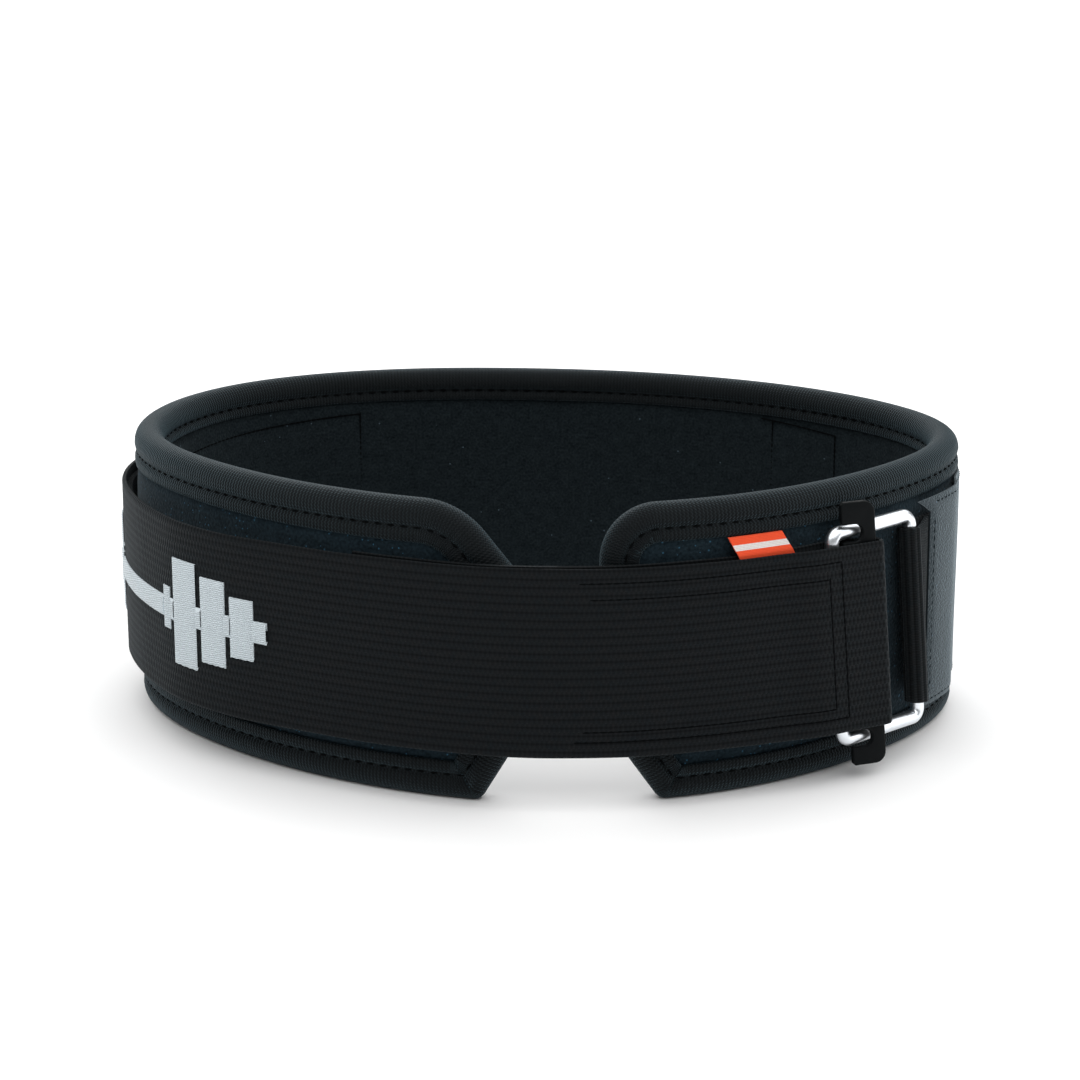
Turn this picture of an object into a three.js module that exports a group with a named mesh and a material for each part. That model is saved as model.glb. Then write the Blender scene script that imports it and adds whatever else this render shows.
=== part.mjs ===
// Weightlifting belt, closed and standing on its bottom edge.
// Millimetres, +Z up, front towards -Y, origin under the middle of the whole belt.
// "Along" is a length round the wall from the front centre, counter-clockwise from above, and "offset" a
// distance outward from the middle surface of the wall.

import * as THREE from 'three';

// Padded wall
const beltHeight = 102;
const loopWidth = 286;
const loopDepth = 213;
const padThickness = 6.9;
const padBulge = 0.6;
const liningThickness = 1.2;
const clearance = 0.3;

// Ends of the wall: tips along the wall, length of the longest taper and largest fillet
const leftTip = -2;
const rightTip = 21;
const endTaper = 23;
const endRadius = 28;
const thinEnd = 46;
const thinRamp = 16;

// Edge binding
const tapeThickness = 1;
const outerTapeLeft = 14;
const outerTapeRight = 12.2;
const innerTapeWidth = 11.5;
const rollFacets = 5;

// Closing strap and the hook layer under its outer run
const strapWidth = 64.6;
const strapThickness = 1.5;
const freeEndReach = 263;
const sewnEndReach = 60;
const strapBow = 6.9;
const hookThickness = 1.8;
const hookMargin = 3;

// Buckle ring
const wireDiameter = 4.8;
const ringWidth = 44;
const ringCornerRadius = 3.4;
const ringCentre = 118.3;
const ringRoom = 1.2;
const ringDrop = 0.6;
const wireSides = 10;

// Lean of the buckle and the strap near it: their lower ends lie further right and further out
const leanAcross = THREE.MathUtils.degToRad(3);
const leanOut = THREE.MathUtils.degToRad(3);
const leanStart = 40;

// Clamp bar
const barLength = 92;
const barWidth = 12.4;
const barThickness = 2.5;
const barTilt = THREE.MathUtils.degToRad(21);
const barLift = 1.1;
const barGap = 1.2;
const barCornerRadius = 4;

// Anchor loop and the panel over its sewn ends
const anchorThickness = 1.4;
const anchorWidth = 62.5;
const anchorReach = 30;
const anchorDrop = THREE.MathUtils.degToRad(35);
const coverThickness = 1;
const coverStart = 12.5;
const coverLength = 104;
const coverRamp = 14;
const coverWing = 8;
const coverWingHeight = 5;

// Woven tag above the strap
const labelThickness = 1;
const labelWidth = 19.5;
const labelTuck = 1.5;
const labelSlantWidth = 3;
const labelBeforeRing = 46.3;

// Embroidered barbell figure
const emblemLength = 145;
const emblemHeight = 38;
const emblemReach = 90;
const emblemThickness = 1;
const emblemEdge = 0.6;

// Longest facets round the wall, its narrowest columns and the room between a fillet and the next stop
const facetLength = 11;
const narrowestColumn = 1.5;
const filletRoom = 1;

// Heights and offsets that follow from the sizes
const midHeight = beltHeight / 2;
const wallHalf = (padThickness + clearance + liningThickness) / 2;
const tapeSeat = wallHalf + clearance;
const rimHalf = tapeSeat + tapeThickness;
const rollStep = Math.PI / rollFacets;
const rollDepth = rimHalf * Math.cos(rollStep / 2);
const padEdge = rollDepth + clearance;
const padFace = wallHalf + padBulge;
const strapSeat = Math.max(rimHalf, padFace) + clearance;
const strapHalf = strapThickness / 2;
const innerRunOffset = strapSeat + strapHalf;
const wireRadius = wireDiameter / 2;
const railSpan = (ringWidth - wireDiameter) / 2;
const railHeight = strapWidth / 2 + ringRoom + wireRadius;
const ringHeight = midHeight - ringDrop;
const leanRise = Math.tan(leanOut) * (railHeight + wireRadius);
const railOffset = strapSeat + strapThickness + 2 * clearance + wireRadius + leanRise;
const labelCentre = ringCentre - labelBeforeRing;

// Plan of the wall's middle surface: control points of a closed cubic B-spline, counter-clockwise from
// the front, as shares of half the width and half the depth
const planShape = [
  { side: -0.01, away: -1.07 },
  { side: 0.42, away: -0.98 },
  { side: 0.81, away: -0.63 },
  { side: 1.13, away: 0 },
  { side: 0.79, away: 0.61 },
  { side: 0.35, away: 0.88 },
  { side: 0.02, away: 0.96 },
  { side: -0.42, away: 0.98 },
  { side: -0.89, away: 0.7 },
  { side: -1.06, away: 0 },
  { side: -0.73, away: -0.58 },
  { side: -0.4, away: -0.89 },
];

// Corners of the flat wall, round it from the bottom of the right end: distance in from that end's tip as
// a share of the taper, height as a share of the belt's height, fillet as a share of the largest fillet
const wallCorners = [
  { left: false, inward: 0.88, height: 0, fillet: 0.14 },
  { left: true, inward: 0.7, height: 0, fillet: 0.14 },
  { left: true, inward: 0, height: 0.265, fillet: 0.21 },
  { left: true, inward: 0, height: 0.73, fillet: 0.36 },
  { left: true, inward: 1, height: 1, fillet: 1 },
  { left: false, inward: 0, height: 1, fillet: 0.68 },
  { left: false, inward: 0, height: 0.285, fillet: 0.21 },
];

// Outer run of the strap left of the buckle: place as a share of the free end's reach, whether the sewn
// run lies below, and bow off what is below as a share of the largest bow
const leftRunShape = [
  { along: -1, doubled: 0, bow: 0 },
  { along: -0.89, doubled: 0, bow: 0.07 },
  { along: -0.78, doubled: 0, bow: 0.22 },
  { along: -0.67, doubled: 0, bow: 0.3 },
  { along: -0.58, doubled: 0, bow: 0.61 },
  { along: -0.49, doubled: 0, bow: 1 },
  { along: -0.41, doubled: 0, bow: 0.91 },
  { along: -0.32, doubled: 0, bow: 0.57 },
  { along: -0.23, doubled: 1, bow: 0.04 },
  { along: -0.12, doubled: 1, bow: 0 },
  { along: 0, doubled: 1, bow: 0 },
];

// The same run right of the front centre: place as a share of the way to the ring's near rail
const rightRunShape = [
  { along: 0.25, doubled: 1, bow: 0 },
  { along: 0.5, doubled: 1, bow: 0 },
  { along: 0.72, doubled: 1, bow: 0 },
  { along: 0.82, doubled: 1, bow: 0.1 },
  { along: 0.92, doubled: 1, bow: 0.4 },
];

// Barbell figure from its right end to its middle: stretches of its length and their heights, as shares
// of its length and height
const emblemShape = [
  { from: 0, to: 0.035, tall: 0.2 },
  { from: 0.035, to: 0.1, tall: 0.56 },
  { from: 0.1, to: 0.115, tall: 0.2 },
  { from: 0.115, to: 0.19, tall: 0.8 },
  { from: 0.19, to: 0.205, tall: 0.2 },
  { from: 0.205, to: 0.29, tall: 1 },
  { from: 0.29, to: 0.305, tall: 0.2 },
  { from: 0.305, to: 0.335, tall: 0.4 },
  { from: 0.335, to: 0.5, tall: 0.2 },
];

// Point and outward normal of the plan curve at a share of the way round
function planAt(share) {
  const count = planShape.length;
  const first = Math.floor(share * count);
  const u = share * count - first;
  const weights = [(1 - u) ** 3, 3 * u ** 3 - 6 * u ** 2 + 4, -3 * u ** 3 + 3 * u ** 2 + 3 * u + 1, u ** 3];
  const slopes = [-((1 - u) ** 2), 3 * u ** 2 - 4 * u, -3 * u ** 2 + 2 * u + 1, u ** 2];
  const point = new THREE.Vector2();
  const heading = new THREE.Vector2();
  weights.forEach((weight, step) => {
    const row = planShape[(first + step - 1 + count) % count];
    const control = new THREE.Vector2((row.side * loopWidth) / 2, (row.away * loopDepth) / 2);
    point.addScaledVector(control, weight / 6);
    heading.addScaledVector(control, slopes[step]);
  });
  heading.normalize();
  return { point, normal: new THREE.Vector2(heading.y, -heading.x) };
}

// Plan curve sampled finely, with the length along it
const planSamples = 1560;
const plan = Array.from({ length: planSamples + 1 }, (_, step) => planAt((step % planSamples) / planSamples));
plan[0].along = 0;
for (let step = 1; step <= planSamples; step += 1) {
  plan[step].along = plan[step - 1].along + plan[step].point.distanceTo(plan[step - 1].point);
}
const loopLength = plan[planSamples].along;
plan[planSamples] = { ...plan[0], along: loopLength };

// Plan position at a length along the wall and an offset from its middle surface
function wallPoint(along, offset) {
  const length = THREE.MathUtils.euclideanModulo(along, loopLength);
  let low = 0;
  let high = planSamples;
  while (high - low > 1) {
    const middle = Math.floor((low + high) / 2);
    if (plan[middle].along > length) high = middle;
    else low = middle;
  }
  const share = (length - plan[low].along) / (plan[high].along - plan[low].along);
  const normal = plan[low].normal.clone().lerp(plan[high].normal, share).normalize();
  return plan[low].point.clone().lerp(plan[high].point, share).addScaledVector(normal, offset);
}

function wallVertex(along, offset, height) {
  const point = wallPoint(along, offset);
  return new THREE.Vector3(point.x, point.y, height);
}

// Evenly spaced numbers from first to last, no further apart than a facet
function spread(first, last, spacing = facetLength) {
  const count = Math.max(1, Math.ceil(Math.abs(last - first) / spacing));
  return Array.from({ length: count + 1 }, (_, step) => first + ((last - first) * step) / count);
}

// Geometry with its faces turned outward
function outward(positions, faces) {
  const at = (index) => new THREE.Vector3().fromArray(positions, 3 * index);
  const volume = faces.reduce((sum, [a, b, c]) => sum + at(a).dot(at(b).cross(at(c))), 0);
  const geometry = new THREE.BufferGeometry();
  geometry.setAttribute('position', new THREE.Float32BufferAttribute(positions, 3));
  geometry.setIndex(faces.flatMap(([a, b, c]) => (volume > 0 ? [a, b, c] : [a, c, b])));
  geometry.computeVertexNormals();
  return geometry;
}

// Closed skin over rings of as many points each, joined into a loop or capped at both ends
function skin(rings, looped = false) {
  const size = rings[0].length;
  const positions = rings.flat().flatMap((point) => point.toArray());
  const faces = [];
  rings.slice(looped ? 0 : 1).forEach((_, span) => {
    const here = span * size;
    const there = ((span + 1) % rings.length) * size;
    for (let side = 0; side < size; side += 1) {
      const next = (side + 1) % size;
      faces.push([here + side, there + side, there + next], [here + side, there + next, here + next]);
    }
  });
  if (!looped) {
    [0, rings.length - 1].forEach((end) => {
      const hub = positions.length / 3;
      const centre = new THREE.Vector3();
      rings[end].forEach((point) => centre.addScaledVector(point, 1 / size));
      positions.push(...centre.toArray());
      for (let side = 0; side < size; side += 1) {
        const edge = [end * size + side, end * size + ((side + 1) % size)];
        faces.push(end === 0 ? [hub, ...edge] : [hub, edge[1], edge[0]]);
      }
    });
  }
  return outward(positions, faces);
}

// Closed skin between two grids of points of one size, a face and a back
function slab(face, back) {
  const rows = face.length;
  const columns = face[0].length;
  const positions = [...face, ...back].flat().flatMap((point) => point.toArray());
  const onFace = (row, column) => row * columns + column;
  const onBack = (row, column) => (rows + row) * columns + column;
  const faces = [];
  const quad = (a, b, c, d) => faces.push([a, b, c], [a, c, d]);
  const edge = columns - 1;
  for (let row = 1; row < rows; row += 1) {
    for (let column = 1; column < columns; column += 1) {
      const corners = [[row - 1, column - 1], [row, column - 1], [row, column], [row - 1, column]];
      quad(...corners.map((corner) => onFace(...corner)));
      quad(...corners.toReversed().map((corner) => onBack(...corner)));
    }
    quad(onFace(row, 0), onFace(row - 1, 0), onBack(row - 1, 0), onBack(row, 0));
    quad(onFace(row - 1, edge), onFace(row, edge), onBack(row, edge), onBack(row - 1, edge));
  }
  for (let column = 1; column < columns; column += 1) {
    quad(onFace(0, column - 1), onFace(0, column), onBack(0, column), onBack(0, column - 1));
    const last = rows - 1;
    quad(onFace(last, column), onFace(last, column - 1), onBack(last, column - 1), onBack(last, column));
  }
  return outward(positions, faces);
}

// Shift of a point near the buckle, for its height and its share of the buckle's lean
function leanShift(height, share) {
  const drop = (midHeight - height) * share;
  return new THREE.Vector2()
    .addScaledVector(ringWay, drop * Math.tan(leanAcross))
    .addScaledVector(ringOut, drop * Math.tan(leanOut));
}

// Flat strip along a run of plan points, between two distances to its right, upright between two heights
function strip(points, near, far, low, high, lean = () => 0) {
  const rings = points.map((point, index) => {
    const before = points[Math.max(index - 1, 0)];
    const after = points[Math.min(index + 1, points.length - 1)];
    const coming = point.clone().sub(before).normalize();
    const going = after.clone().sub(point).normalize();
    const heading = coming.clone().add(going).normalize();
    const stretch = 1 / heading.dot(coming.lengthSq() > 0 ? coming : going);
    const side = new THREE.Vector2(heading.y, -heading.x).multiplyScalar(stretch);
    const corner = (distance, height) => {
      const place = point.clone().addScaledVector(side, distance).add(leanShift(height, lean(index)));
      return new THREE.Vector3(place.x, place.y, height);
    };
    return [corner(near, low), corner(far, low), corner(far, high), corner(near, high)];
  });
  return skin(rings);
}

// Rim of the flat wall as a closed run of stations. Each gives its place, along and height, at a depth in
// from the rim, and its fillet closes to a mitre where the depth passes the fillet's radius.
const bodyStart = rightTip;
const bodyEnd = loopLength + leftTip;
const longEdge = spread(bodyStart + thinEnd, bodyEnd - thinEnd);
const smallestFillet = 0.4;
const filletStep = THREE.MathUtils.degToRad(14);

function rimStations() {
  const corners = wallCorners.map((row) => ({
    vertex: new THREE.Vector2(
      row.left ? bodyEnd - row.inward * endTaper : bodyStart + row.inward * endTaper,
      row.height * beltHeight,
    ),
    radius: row.fillet * endRadius,
  }));
  corners.forEach((corner, index) => {
    const before = corners.at(index - 1).vertex;
    const after = corners[(index + 1) % corners.length].vertex;
    corner.coming = corner.vertex.clone().sub(before).normalize();
    corner.going = after.clone().sub(corner.vertex).normalize();
    corner.turn = Math.acos(corner.coming.dot(corner.going));
    corner.reach = Math.max(corner.radius, outerTapeLeft + smallestFillet) * Math.tan(corner.turn / 2);
  });
  return corners.flatMap((corner, index) => {
    const { vertex, coming, going, turn } = corner;
    const firstInward = new THREE.Vector2(-coming.y, coming.x);
    const lastInward = new THREE.Vector2(-going.y, going.x);
    const middleInward = firstInward.clone().add(lastInward).normalize();
    const fillet = spread(0, turn, filletStep).map((swing) => (depth) => {
      const radius = Math.max(corner.radius - depth, smallestFillet);
      const inward = firstInward.clone().rotateAround(new THREE.Vector2(), swing);
      return vertex
        .clone()
        .addScaledVector(middleInward, (depth + radius) / Math.cos(turn / 2))
        .addScaledVector(inward, -radius);
    });
    const next = corners[(index + 1) % corners.length];
    const first = corner.reach + filletRoom;
    const last = vertex.distanceTo(next.vertex) - next.reach - filletRoom;
    const grid = longEdge
      .map((along) => (along - vertex.x) * Math.sign(going.x))
      .sort((one, other) => one - other);
    const isLong = last > loopLength / 2;
    const stops = isLong
      ? [...spread(first, grid[0]).slice(0, -1), ...grid, ...spread(grid.at(-1), last).slice(1)]
      : spread(first, last);
    const straight = stops.map((length) => (depth) => {
      return vertex.clone().addScaledVector(going, length).addScaledVector(lastInward, depth);
    });
    return [...fillet, ...straight];
  });
}

const rim = rimStations();

// Lowest and highest points of the wall at a place along it, a depth in from the rim
function wallHeights(outline, along) {
  const touch = 0.001;
  const heights = outline.flatMap((point, index) => {
    const next = outline[(index + 1) % outline.length];
    if (Math.abs(point.x - along) < touch) return [point.y];
    if ((point.x - along) * (next.x - along) >= 0) return [];
    return [point.y + ((next.y - point.y) * (along - point.x)) / (next.x - point.x)];
  });
  return [Math.min(...heights), Math.max(...heights)];
}

// Width of the outer tape, which narrows from the left end to the right one
function outerTapeWidth(along) {
  const share = (along - bodyStart) / (bodyEnd - bodyStart);
  return THREE.MathUtils.lerp(outerTapeRight, outerTapeLeft, THREE.MathUtils.clamp(share, 0, 1));
}

// One layer of the wall from a flat back to a face that swells past the edge of the binding's tape
function wallLayer(back, face, swell, tapeWidth) {
  const outline = rim.map((station) => station(padEdge));
  const places = outline.map((point) => point.x).sort((one, other) => one - other);
  const columns = [];
  places.forEach((along) => {
    if (columns.length === 0 || along - columns.at(-1) > narrowestColumn) columns.push(along);
  });
  columns.splice(-1, 1, places.at(-1));
  const rings = columns.map((along) => {
    const shoulder = tapeWidth(along) + clearance - padEdge;
    const [low, high] = wallHeights(outline, along);
    const fromTip = Math.min(along - bodyStart, bodyEnd - along);
    const rise = face + swell * THREE.MathUtils.clamp((fromTip - thinEnd) / thinRamp, 0, 1);
    const section = [
      [back, low],
      [face, low],
      [face, low + shoulder],
      [rise, low + shoulder + padBulge],
      [rise, high - shoulder - padBulge],
      [face, high - shoulder],
      [face, high],
      [back, high],
    ];
    return section.map(([offset, height]) => wallVertex(along, offset, height));
  });
  return skin(rings);
}

function paddedBody() {
  return wallLayer(wallHalf - padThickness, wallHalf, padBulge, outerTapeWidth);
}

function innerLining() {
  return wallLayer(liningThickness - wallHalf, -wallHalf, -padBulge, () => innerTapeWidth);
}

// Tape folded over the rim, with a rolled edge and a flap on each face
function edgeBinding() {
  const roll = spread(-Math.PI / 2, Math.PI / 2, rollStep).map((angle) => {
    return [rollDepth - rimHalf * Math.cos(angle), rimHalf * Math.sin(angle)];
  });
  const rings = rim.map((station) => {
    const width = outerTapeWidth(station(0).x);
    const section = [
      ...roll,
      [width, rimHalf],
      [width, tapeSeat],
      [rollDepth, tapeSeat],
      [rollDepth, -tapeSeat],
      [innerTapeWidth, -tapeSeat],
      [innerTapeWidth, -rimHalf],
    ];
    return section.map(([depth, offset]) => {
      const place = station(depth);
      return wallVertex(place.x, offset, place.y);
    });
  });
  return skin(rings, true);
}

// Ring's frame in plan: its near and far rails, the way from one to the other and the way outward
const nearAlong = ringCentre - railSpan;
const chordStart = wallPoint(nearAlong, railOffset);
const chordEnd = wallPoint(ringCentre + railSpan, railOffset);
const ringWay = chordEnd.clone().sub(chordStart).normalize();
const ringOut = new THREE.Vector2(ringWay.y, -ringWay.x);
const ringMiddle = chordStart.clone().lerp(chordEnd, 0.5);
const ringPlace = (way, out) => {
  return ringMiddle.clone().addScaledVector(ringWay, way).addScaledVector(ringOut, out);
};

// Clamp bar's frame: its near edge, the way across it and the way off its outer face
const barNear = ringPlace(wireRadius + barGap - railSpan, barLift);
const barWay = ringWay.clone().rotateAround(new THREE.Vector2(), -barTilt);
const barOut = ringOut.clone().rotateAround(new THREE.Vector2(), -barTilt);
const barFar = barNear.clone().addScaledVector(barWay, barWidth);

// Share of the buckle's lean that the strap has taken up at a place along the wall
const leanAt = (along) => THREE.MathUtils.smoothstep(along, leanStart, nearAlong);

// Offset of the outer run's middle at a place along the wall, through the rows of its tables
const runRows = [
  ...leftRunShape.map((row) => ({ ...row, along: row.along * freeEndReach })),
  ...rightRunShape.map((row) => ({ ...row, along: row.along * nearAlong })),
].map((row) => {
  const below = row.doubled ? strapSeat + strapThickness : padFace;
  const stack = below + clearance + hookThickness + clearance + strapHalf;
  return { along: row.along, offset: stack + row.bow * strapBow + leanRise * leanAt(row.along) };
});
const overRail = railOffset + wireRadius + 2 * clearance + strapHalf;
runRows.push({ along: nearAlong, offset: overRail });

function outerRunOffset(along) {
  const found = runRows.findIndex((row) => row.along >= along);
  const index = THREE.MathUtils.clamp(found, 1, runRows.length - 1);
  const [before, start, end, after] = [-2, -1, 0, 1].map((step) => {
    return runRows[THREE.MathUtils.clamp(index + step, 0, runRows.length - 1)];
  });
  const span = end.along - start.along;
  const u = (along - start.along) / span;
  const startSlope = ((end.offset - before.offset) / (end.along - before.along)) * span;
  const endSlope = ((after.offset - start.offset) / (after.along - start.along)) * span;
  return (
    (2 * u ** 3 - 3 * u ** 2 + 1) * start.offset +
    (u ** 3 - 2 * u ** 2 + u) * startSlope +
    (3 * u ** 2 - 2 * u ** 3) * end.offset +
    (u ** 3 - u ** 2) * endSlope
  );
}

// Stops of a run along the wall, each with its plan point and share of the lean
function runStops(first, last, offsetAt) {
  return spread(first, last).map((along) => ({
    point: wallPoint(along, offsetAt(along)),
    lean: leanAt(along),
  }));
}

const strapLow = midHeight - strapWidth / 2;
const strapHigh = midHeight + strapWidth / 2;

function stripOnStops(stops, near, far, low, high) {
  const points = stops.map((stop) => stop.point);
  return strip(points, near, far, low, high, (index) => stops[index].lean);
}

// One webbing: outer run from the free end, over the near rail, round the clamp bar, back along the wall
function closingStrap() {
  const foldRadius = barThickness / 2 + clearance + strapHalf;
  const fold = spread(0, Math.PI, Math.PI / 8).map((swing) => {
    const arm = barOut.clone().multiplyScalar(foldRadius).rotateAround(new THREE.Vector2(), swing);
    return barFar.clone().add(arm);
  });
  const underRail = -wireRadius - 2 * clearance - strapHalf;
  const corner = ringPlace(wireRadius - railSpan, underRail);
  const innerOffset = (along) => innerRunOffset + leanRise * leanAt(along);
  const stops = [
    ...runStops(-freeEndReach, nearAlong, outerRunOffset),
    ...[...fold, corner].map((point) => ({ point, lean: 1 })),
    ...runStops(nearAlong, -sewnEndReach, innerOffset),
  ];
  return stripOnStops(stops, -strapHalf, strapHalf, strapLow, strapHigh);
}

function hookPatch() {
  const stops = runStops(-freeEndReach + clearance, nearAlong - 2 * wireDiameter, outerRunOffset);
  const face = -strapHalf - clearance;
  return stripOnStops(stops, face - hookThickness, face, strapLow + hookMargin, strapHigh - hookMargin);
}

// Shape near the buckle with the whole of its lean
function leaned(geometry) {
  const { x, y } = leanShift(midHeight - 1, 1);
  const shear = new THREE.Matrix4().makeShear(0, 0, 0, 0, -x, -y);
  const raised = new THREE.Matrix4().makeTranslation(x * midHeight, y * midHeight, 0);
  return geometry.applyMatrix4(shear).applyMatrix4(raised);
}

// Round wire bent to a rounded rectangle, upright in the ring's frame
function buckleRing() {
  const across = railSpan - ringCornerRadius;
  const up = railHeight - ringCornerRadius;
  const path = [[1, 1], [-1, 1], [-1, -1], [1, -1]].flatMap(([way, rise], quarter) => {
    const start = (quarter * Math.PI) / 2;
    return spread(start, start + Math.PI / 2, Math.PI / 8).map((angle) => ({
      way: way * across + ringCornerRadius * Math.cos(angle),
      rise: rise * up + ringCornerRadius * Math.sin(angle),
      angle,
    }));
  });
  const rings = path.map(({ way, rise, angle }) => spread(0, 2 * Math.PI, (2 * Math.PI) / wireSides)
    .slice(1)
    .map((turn) => {
      const spreadOut = wireRadius * Math.cos(turn);
      const place = ringPlace(way + spreadOut * Math.cos(angle), wireRadius * Math.sin(turn));
      return new THREE.Vector3(place.x, place.y, ringHeight + rise + spreadOut * Math.sin(angle));
    }));
  return leaned(skin(rings, true));
}

// Flat bar with an open slot near each end for the ring's rails
function clampBar() {
  const half = barThickness / 2;
  const railRoom = wireRadius + clearance - barLift + half / Math.cos(barTilt);
  const slotDepth = (railRoom / Math.tan(barTilt) - half * Math.sin(barTilt)) / Math.cos(barTilt);
  const slotHalf = wireRadius + 2 * clearance;
  const upperRail = railHeight - ringDrop;
  const lowerRail = -railHeight - ringDrop;
  const top = barLength / 2;
  const outline = new THREE.Shape();
  outline.moveTo(0, upperRail - slotHalf);
  outline.lineTo(0, lowerRail + slotHalf);
  outline.lineTo(slotDepth, lowerRail + slotHalf);
  outline.lineTo(slotDepth, lowerRail - slotHalf);
  outline.lineTo(0, lowerRail - slotHalf);
  outline.lineTo(0, -top);
  outline.lineTo(barWidth - barCornerRadius, -top);
  outline.absarc(barWidth - barCornerRadius, barCornerRadius - top, barCornerRadius, -Math.PI / 2, 0);
  outline.absarc(barWidth - barCornerRadius, top - barCornerRadius, barCornerRadius, 0, Math.PI / 2);
  outline.lineTo(0, top);
  outline.lineTo(0, upperRail + slotHalf);
  outline.lineTo(slotDepth, upperRail + slotHalf);
  outline.lineTo(slotDepth, upperRail - slotHalf);
  const plate = { depth: barThickness, bevelEnabled: false, curveSegments: 5 };
  const bar = new THREE.ExtrudeGeometry(outline, plate);
  const across = new THREE.Vector3(barWay.x, barWay.y, 0);
  const through = new THREE.Vector3(barOut.x, barOut.y, 0);
  bar.applyMatrix4(new THREE.Matrix4().makeBasis(across, new THREE.Vector3(0, 0, 1), through));
  const corner = barNear.clone().addScaledVector(barOut, -half);
  bar.translate(corner.x, corner.y, midHeight);
  return leaned(bar);
}

// Webbing from its sewn end along the wall, round the far rail and back over itself
const farAlong = ringCentre + railSpan;
const anchorHalf = anchorThickness / 2;
const anchorInner = padFace + clearance + anchorHalf;
const anchorOuter = anchorInner + anchorThickness + clearance;

function anchorLoop() {
  const arm = ringOut.clone().multiplyScalar(wireRadius + clearance + anchorHalf);
  const centre = ringPlace(railSpan, 0);
  const onWall = (first, last, offset) => spread(first, last).map((along) => ({
    point: wallPoint(along, offset),
    lean: 0,
  }));
  const round = spread(Math.PI, 2 * Math.PI + anchorDrop, Math.PI / 8).map((swing) => ({
    point: centre.clone().add(arm.clone().rotateAround(new THREE.Vector2(), swing)),
    lean: 1,
  }));
  const stops = [
    ...onWall(farAlong + anchorReach, farAlong + coverStart, anchorInner),
    ...round,
    ...onWall(farAlong + coverStart, farAlong + anchorReach, anchorOuter),
  ];
  const low = midHeight - anchorWidth / 2;
  const high = midHeight + anchorWidth / 2;
  return stripOnStops(stops, -anchorHalf, anchorHalf, low, high);
}

// Panel over the loop's sewn ends, stepping down to the wall behind them, with a wing at each near corner
function coverPanel() {
  const start = farAlong + coverStart;
  const rampStart = farAlong + anchorReach + clearance;
  const onLoop = anchorOuter + anchorHalf + clearance;
  const onWall = padFace + clearance;
  const places = [
    ...spread(start, rampStart),
    ...spread(rampStart, rampStart + coverRamp, coverRamp / 3).slice(1),
    ...spread(rampStart + coverRamp, start + coverLength, facetLength / 2).slice(1),
  ];
  const edge = (along, height, thickness) => {
    const down = THREE.MathUtils.smoothstep(along, rampStart, rampStart + coverRamp);
    return wallVertex(along, THREE.MathUtils.lerp(onLoop, onWall, down) + thickness, height);
  };
  const margin = outerTapeWidth(start) + 2 * clearance;
  const levels = [
    { height: margin, wing: coverWing },
    { height: margin + coverWingHeight, wing: 0 },
    { height: beltHeight - margin - coverWingHeight, wing: 0 },
    { height: beltHeight - margin, wing: coverWing },
  ];
  const grid = (thickness) => places.map((along, index) => levels.map(({ height, wing }) => {
    return edge(index === 0 ? along - wing : along, height, thickness);
  }));
  return slab(grid(coverThickness), grid(0));
}

// Tag that hangs from the tape's edge, with its foot between the strap's two runs
function sideLabel() {
  const top = beltHeight - outerTapeWidth(labelCentre) - clearance;
  const foot = strapHigh - labelTuck;
  const seat = padFace + clearance;
  const onRun = (along, height) => {
    const lean = leanRise + (midHeight - height) * Math.tan(leanOut);
    return strapSeat + strapThickness + 2 * clearance + leanAt(along) * lean;
  };
  const grid = (thickness) => spread(-labelWidth / 2, labelWidth / 2, facetLength / 2).map((way) => {
    return [top, strapHigh + clearance, foot].map((height, row) => {
      const along = labelCentre + way + (labelSlantWidth * (top - height)) / (top - foot);
      return wallVertex(along, (row === 0 ? seat : onRun(along, height)) + thickness, height);
    });
  });
  return slab(grid(labelThickness), grid(0));
}

// Raised embroidery on the outer run: one bar with plates at both ends
function strapEmblem() {
  const mirrored = emblemShape
    .toReversed()
    .map(({ from, to, tall }) => ({ from: 1 - to, to: 1 - from, tall }));
  const rows = [...emblemShape, ...mirrored];
  const rings = rows.flatMap((row, index) => {
    const first = row.from * emblemLength + (index === 0 ? 0 : emblemEdge / 2);
    const last = row.to * emblemLength - (index === rows.length - 1 ? 0 : emblemEdge / 2);
    return spread(first, last).map((place) => {
      const along = -emblemReach - place;
      const face = outerRunOffset(along) + strapHalf + clearance;
      const rise = (row.tall * emblemHeight) / 2;
      return [
        wallVertex(along, face, midHeight - rise),
        wallVertex(along, face + emblemThickness, midHeight - rise),
        wallVertex(along, face + emblemThickness, midHeight + rise),
        wallVertex(along, face, midHeight + rise),
      ];
    });
  });
  return skin(rings);
}

// Every piece with its name, shape and finish
const pieces = [
  { name: 'padded_body', shape: paddedBody(), colour: 0x12151a, roughness: 0.95, metalness: 0 },
  { name: 'inner_lining', shape: innerLining(), colour: 0x0e1116, roughness: 0.95, metalness: 0 },
  { name: 'edge_binding', shape: edgeBinding(), colour: 0x17191b, roughness: 0.8, metalness: 0 },
  { name: 'closing_strap', shape: closingStrap(), colour: 0x1c1a19, roughness: 0.85, metalness: 0 },
  { name: 'hook_patch', shape: hookPatch(), colour: 0x0d0e10, roughness: 0.95, metalness: 0 },
  { name: 'buckle_ring', shape: buckleRing(), colour: 0xc9ccd0, roughness: 0.18, metalness: 1 },
  { name: 'clamp_bar', shape: clampBar(), colour: 0x232427, roughness: 0.45, metalness: 0.4 },
  { name: 'anchor_loop', shape: anchorLoop(), colour: 0x1c1a19, roughness: 0.85, metalness: 0 },
  { name: 'cover_panel', shape: coverPanel(), colour: 0x161b24, roughness: 0.95, metalness: 0 },
  { name: 'side_label', shape: sideLabel(), colour: 0xe8501f, roughness: 0.7, metalness: 0 },
  { name: 'strap_emblem', shape: strapEmblem(), colour: 0xdfe3e8, roughness: 0.7, metalness: 0 },
];

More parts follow.
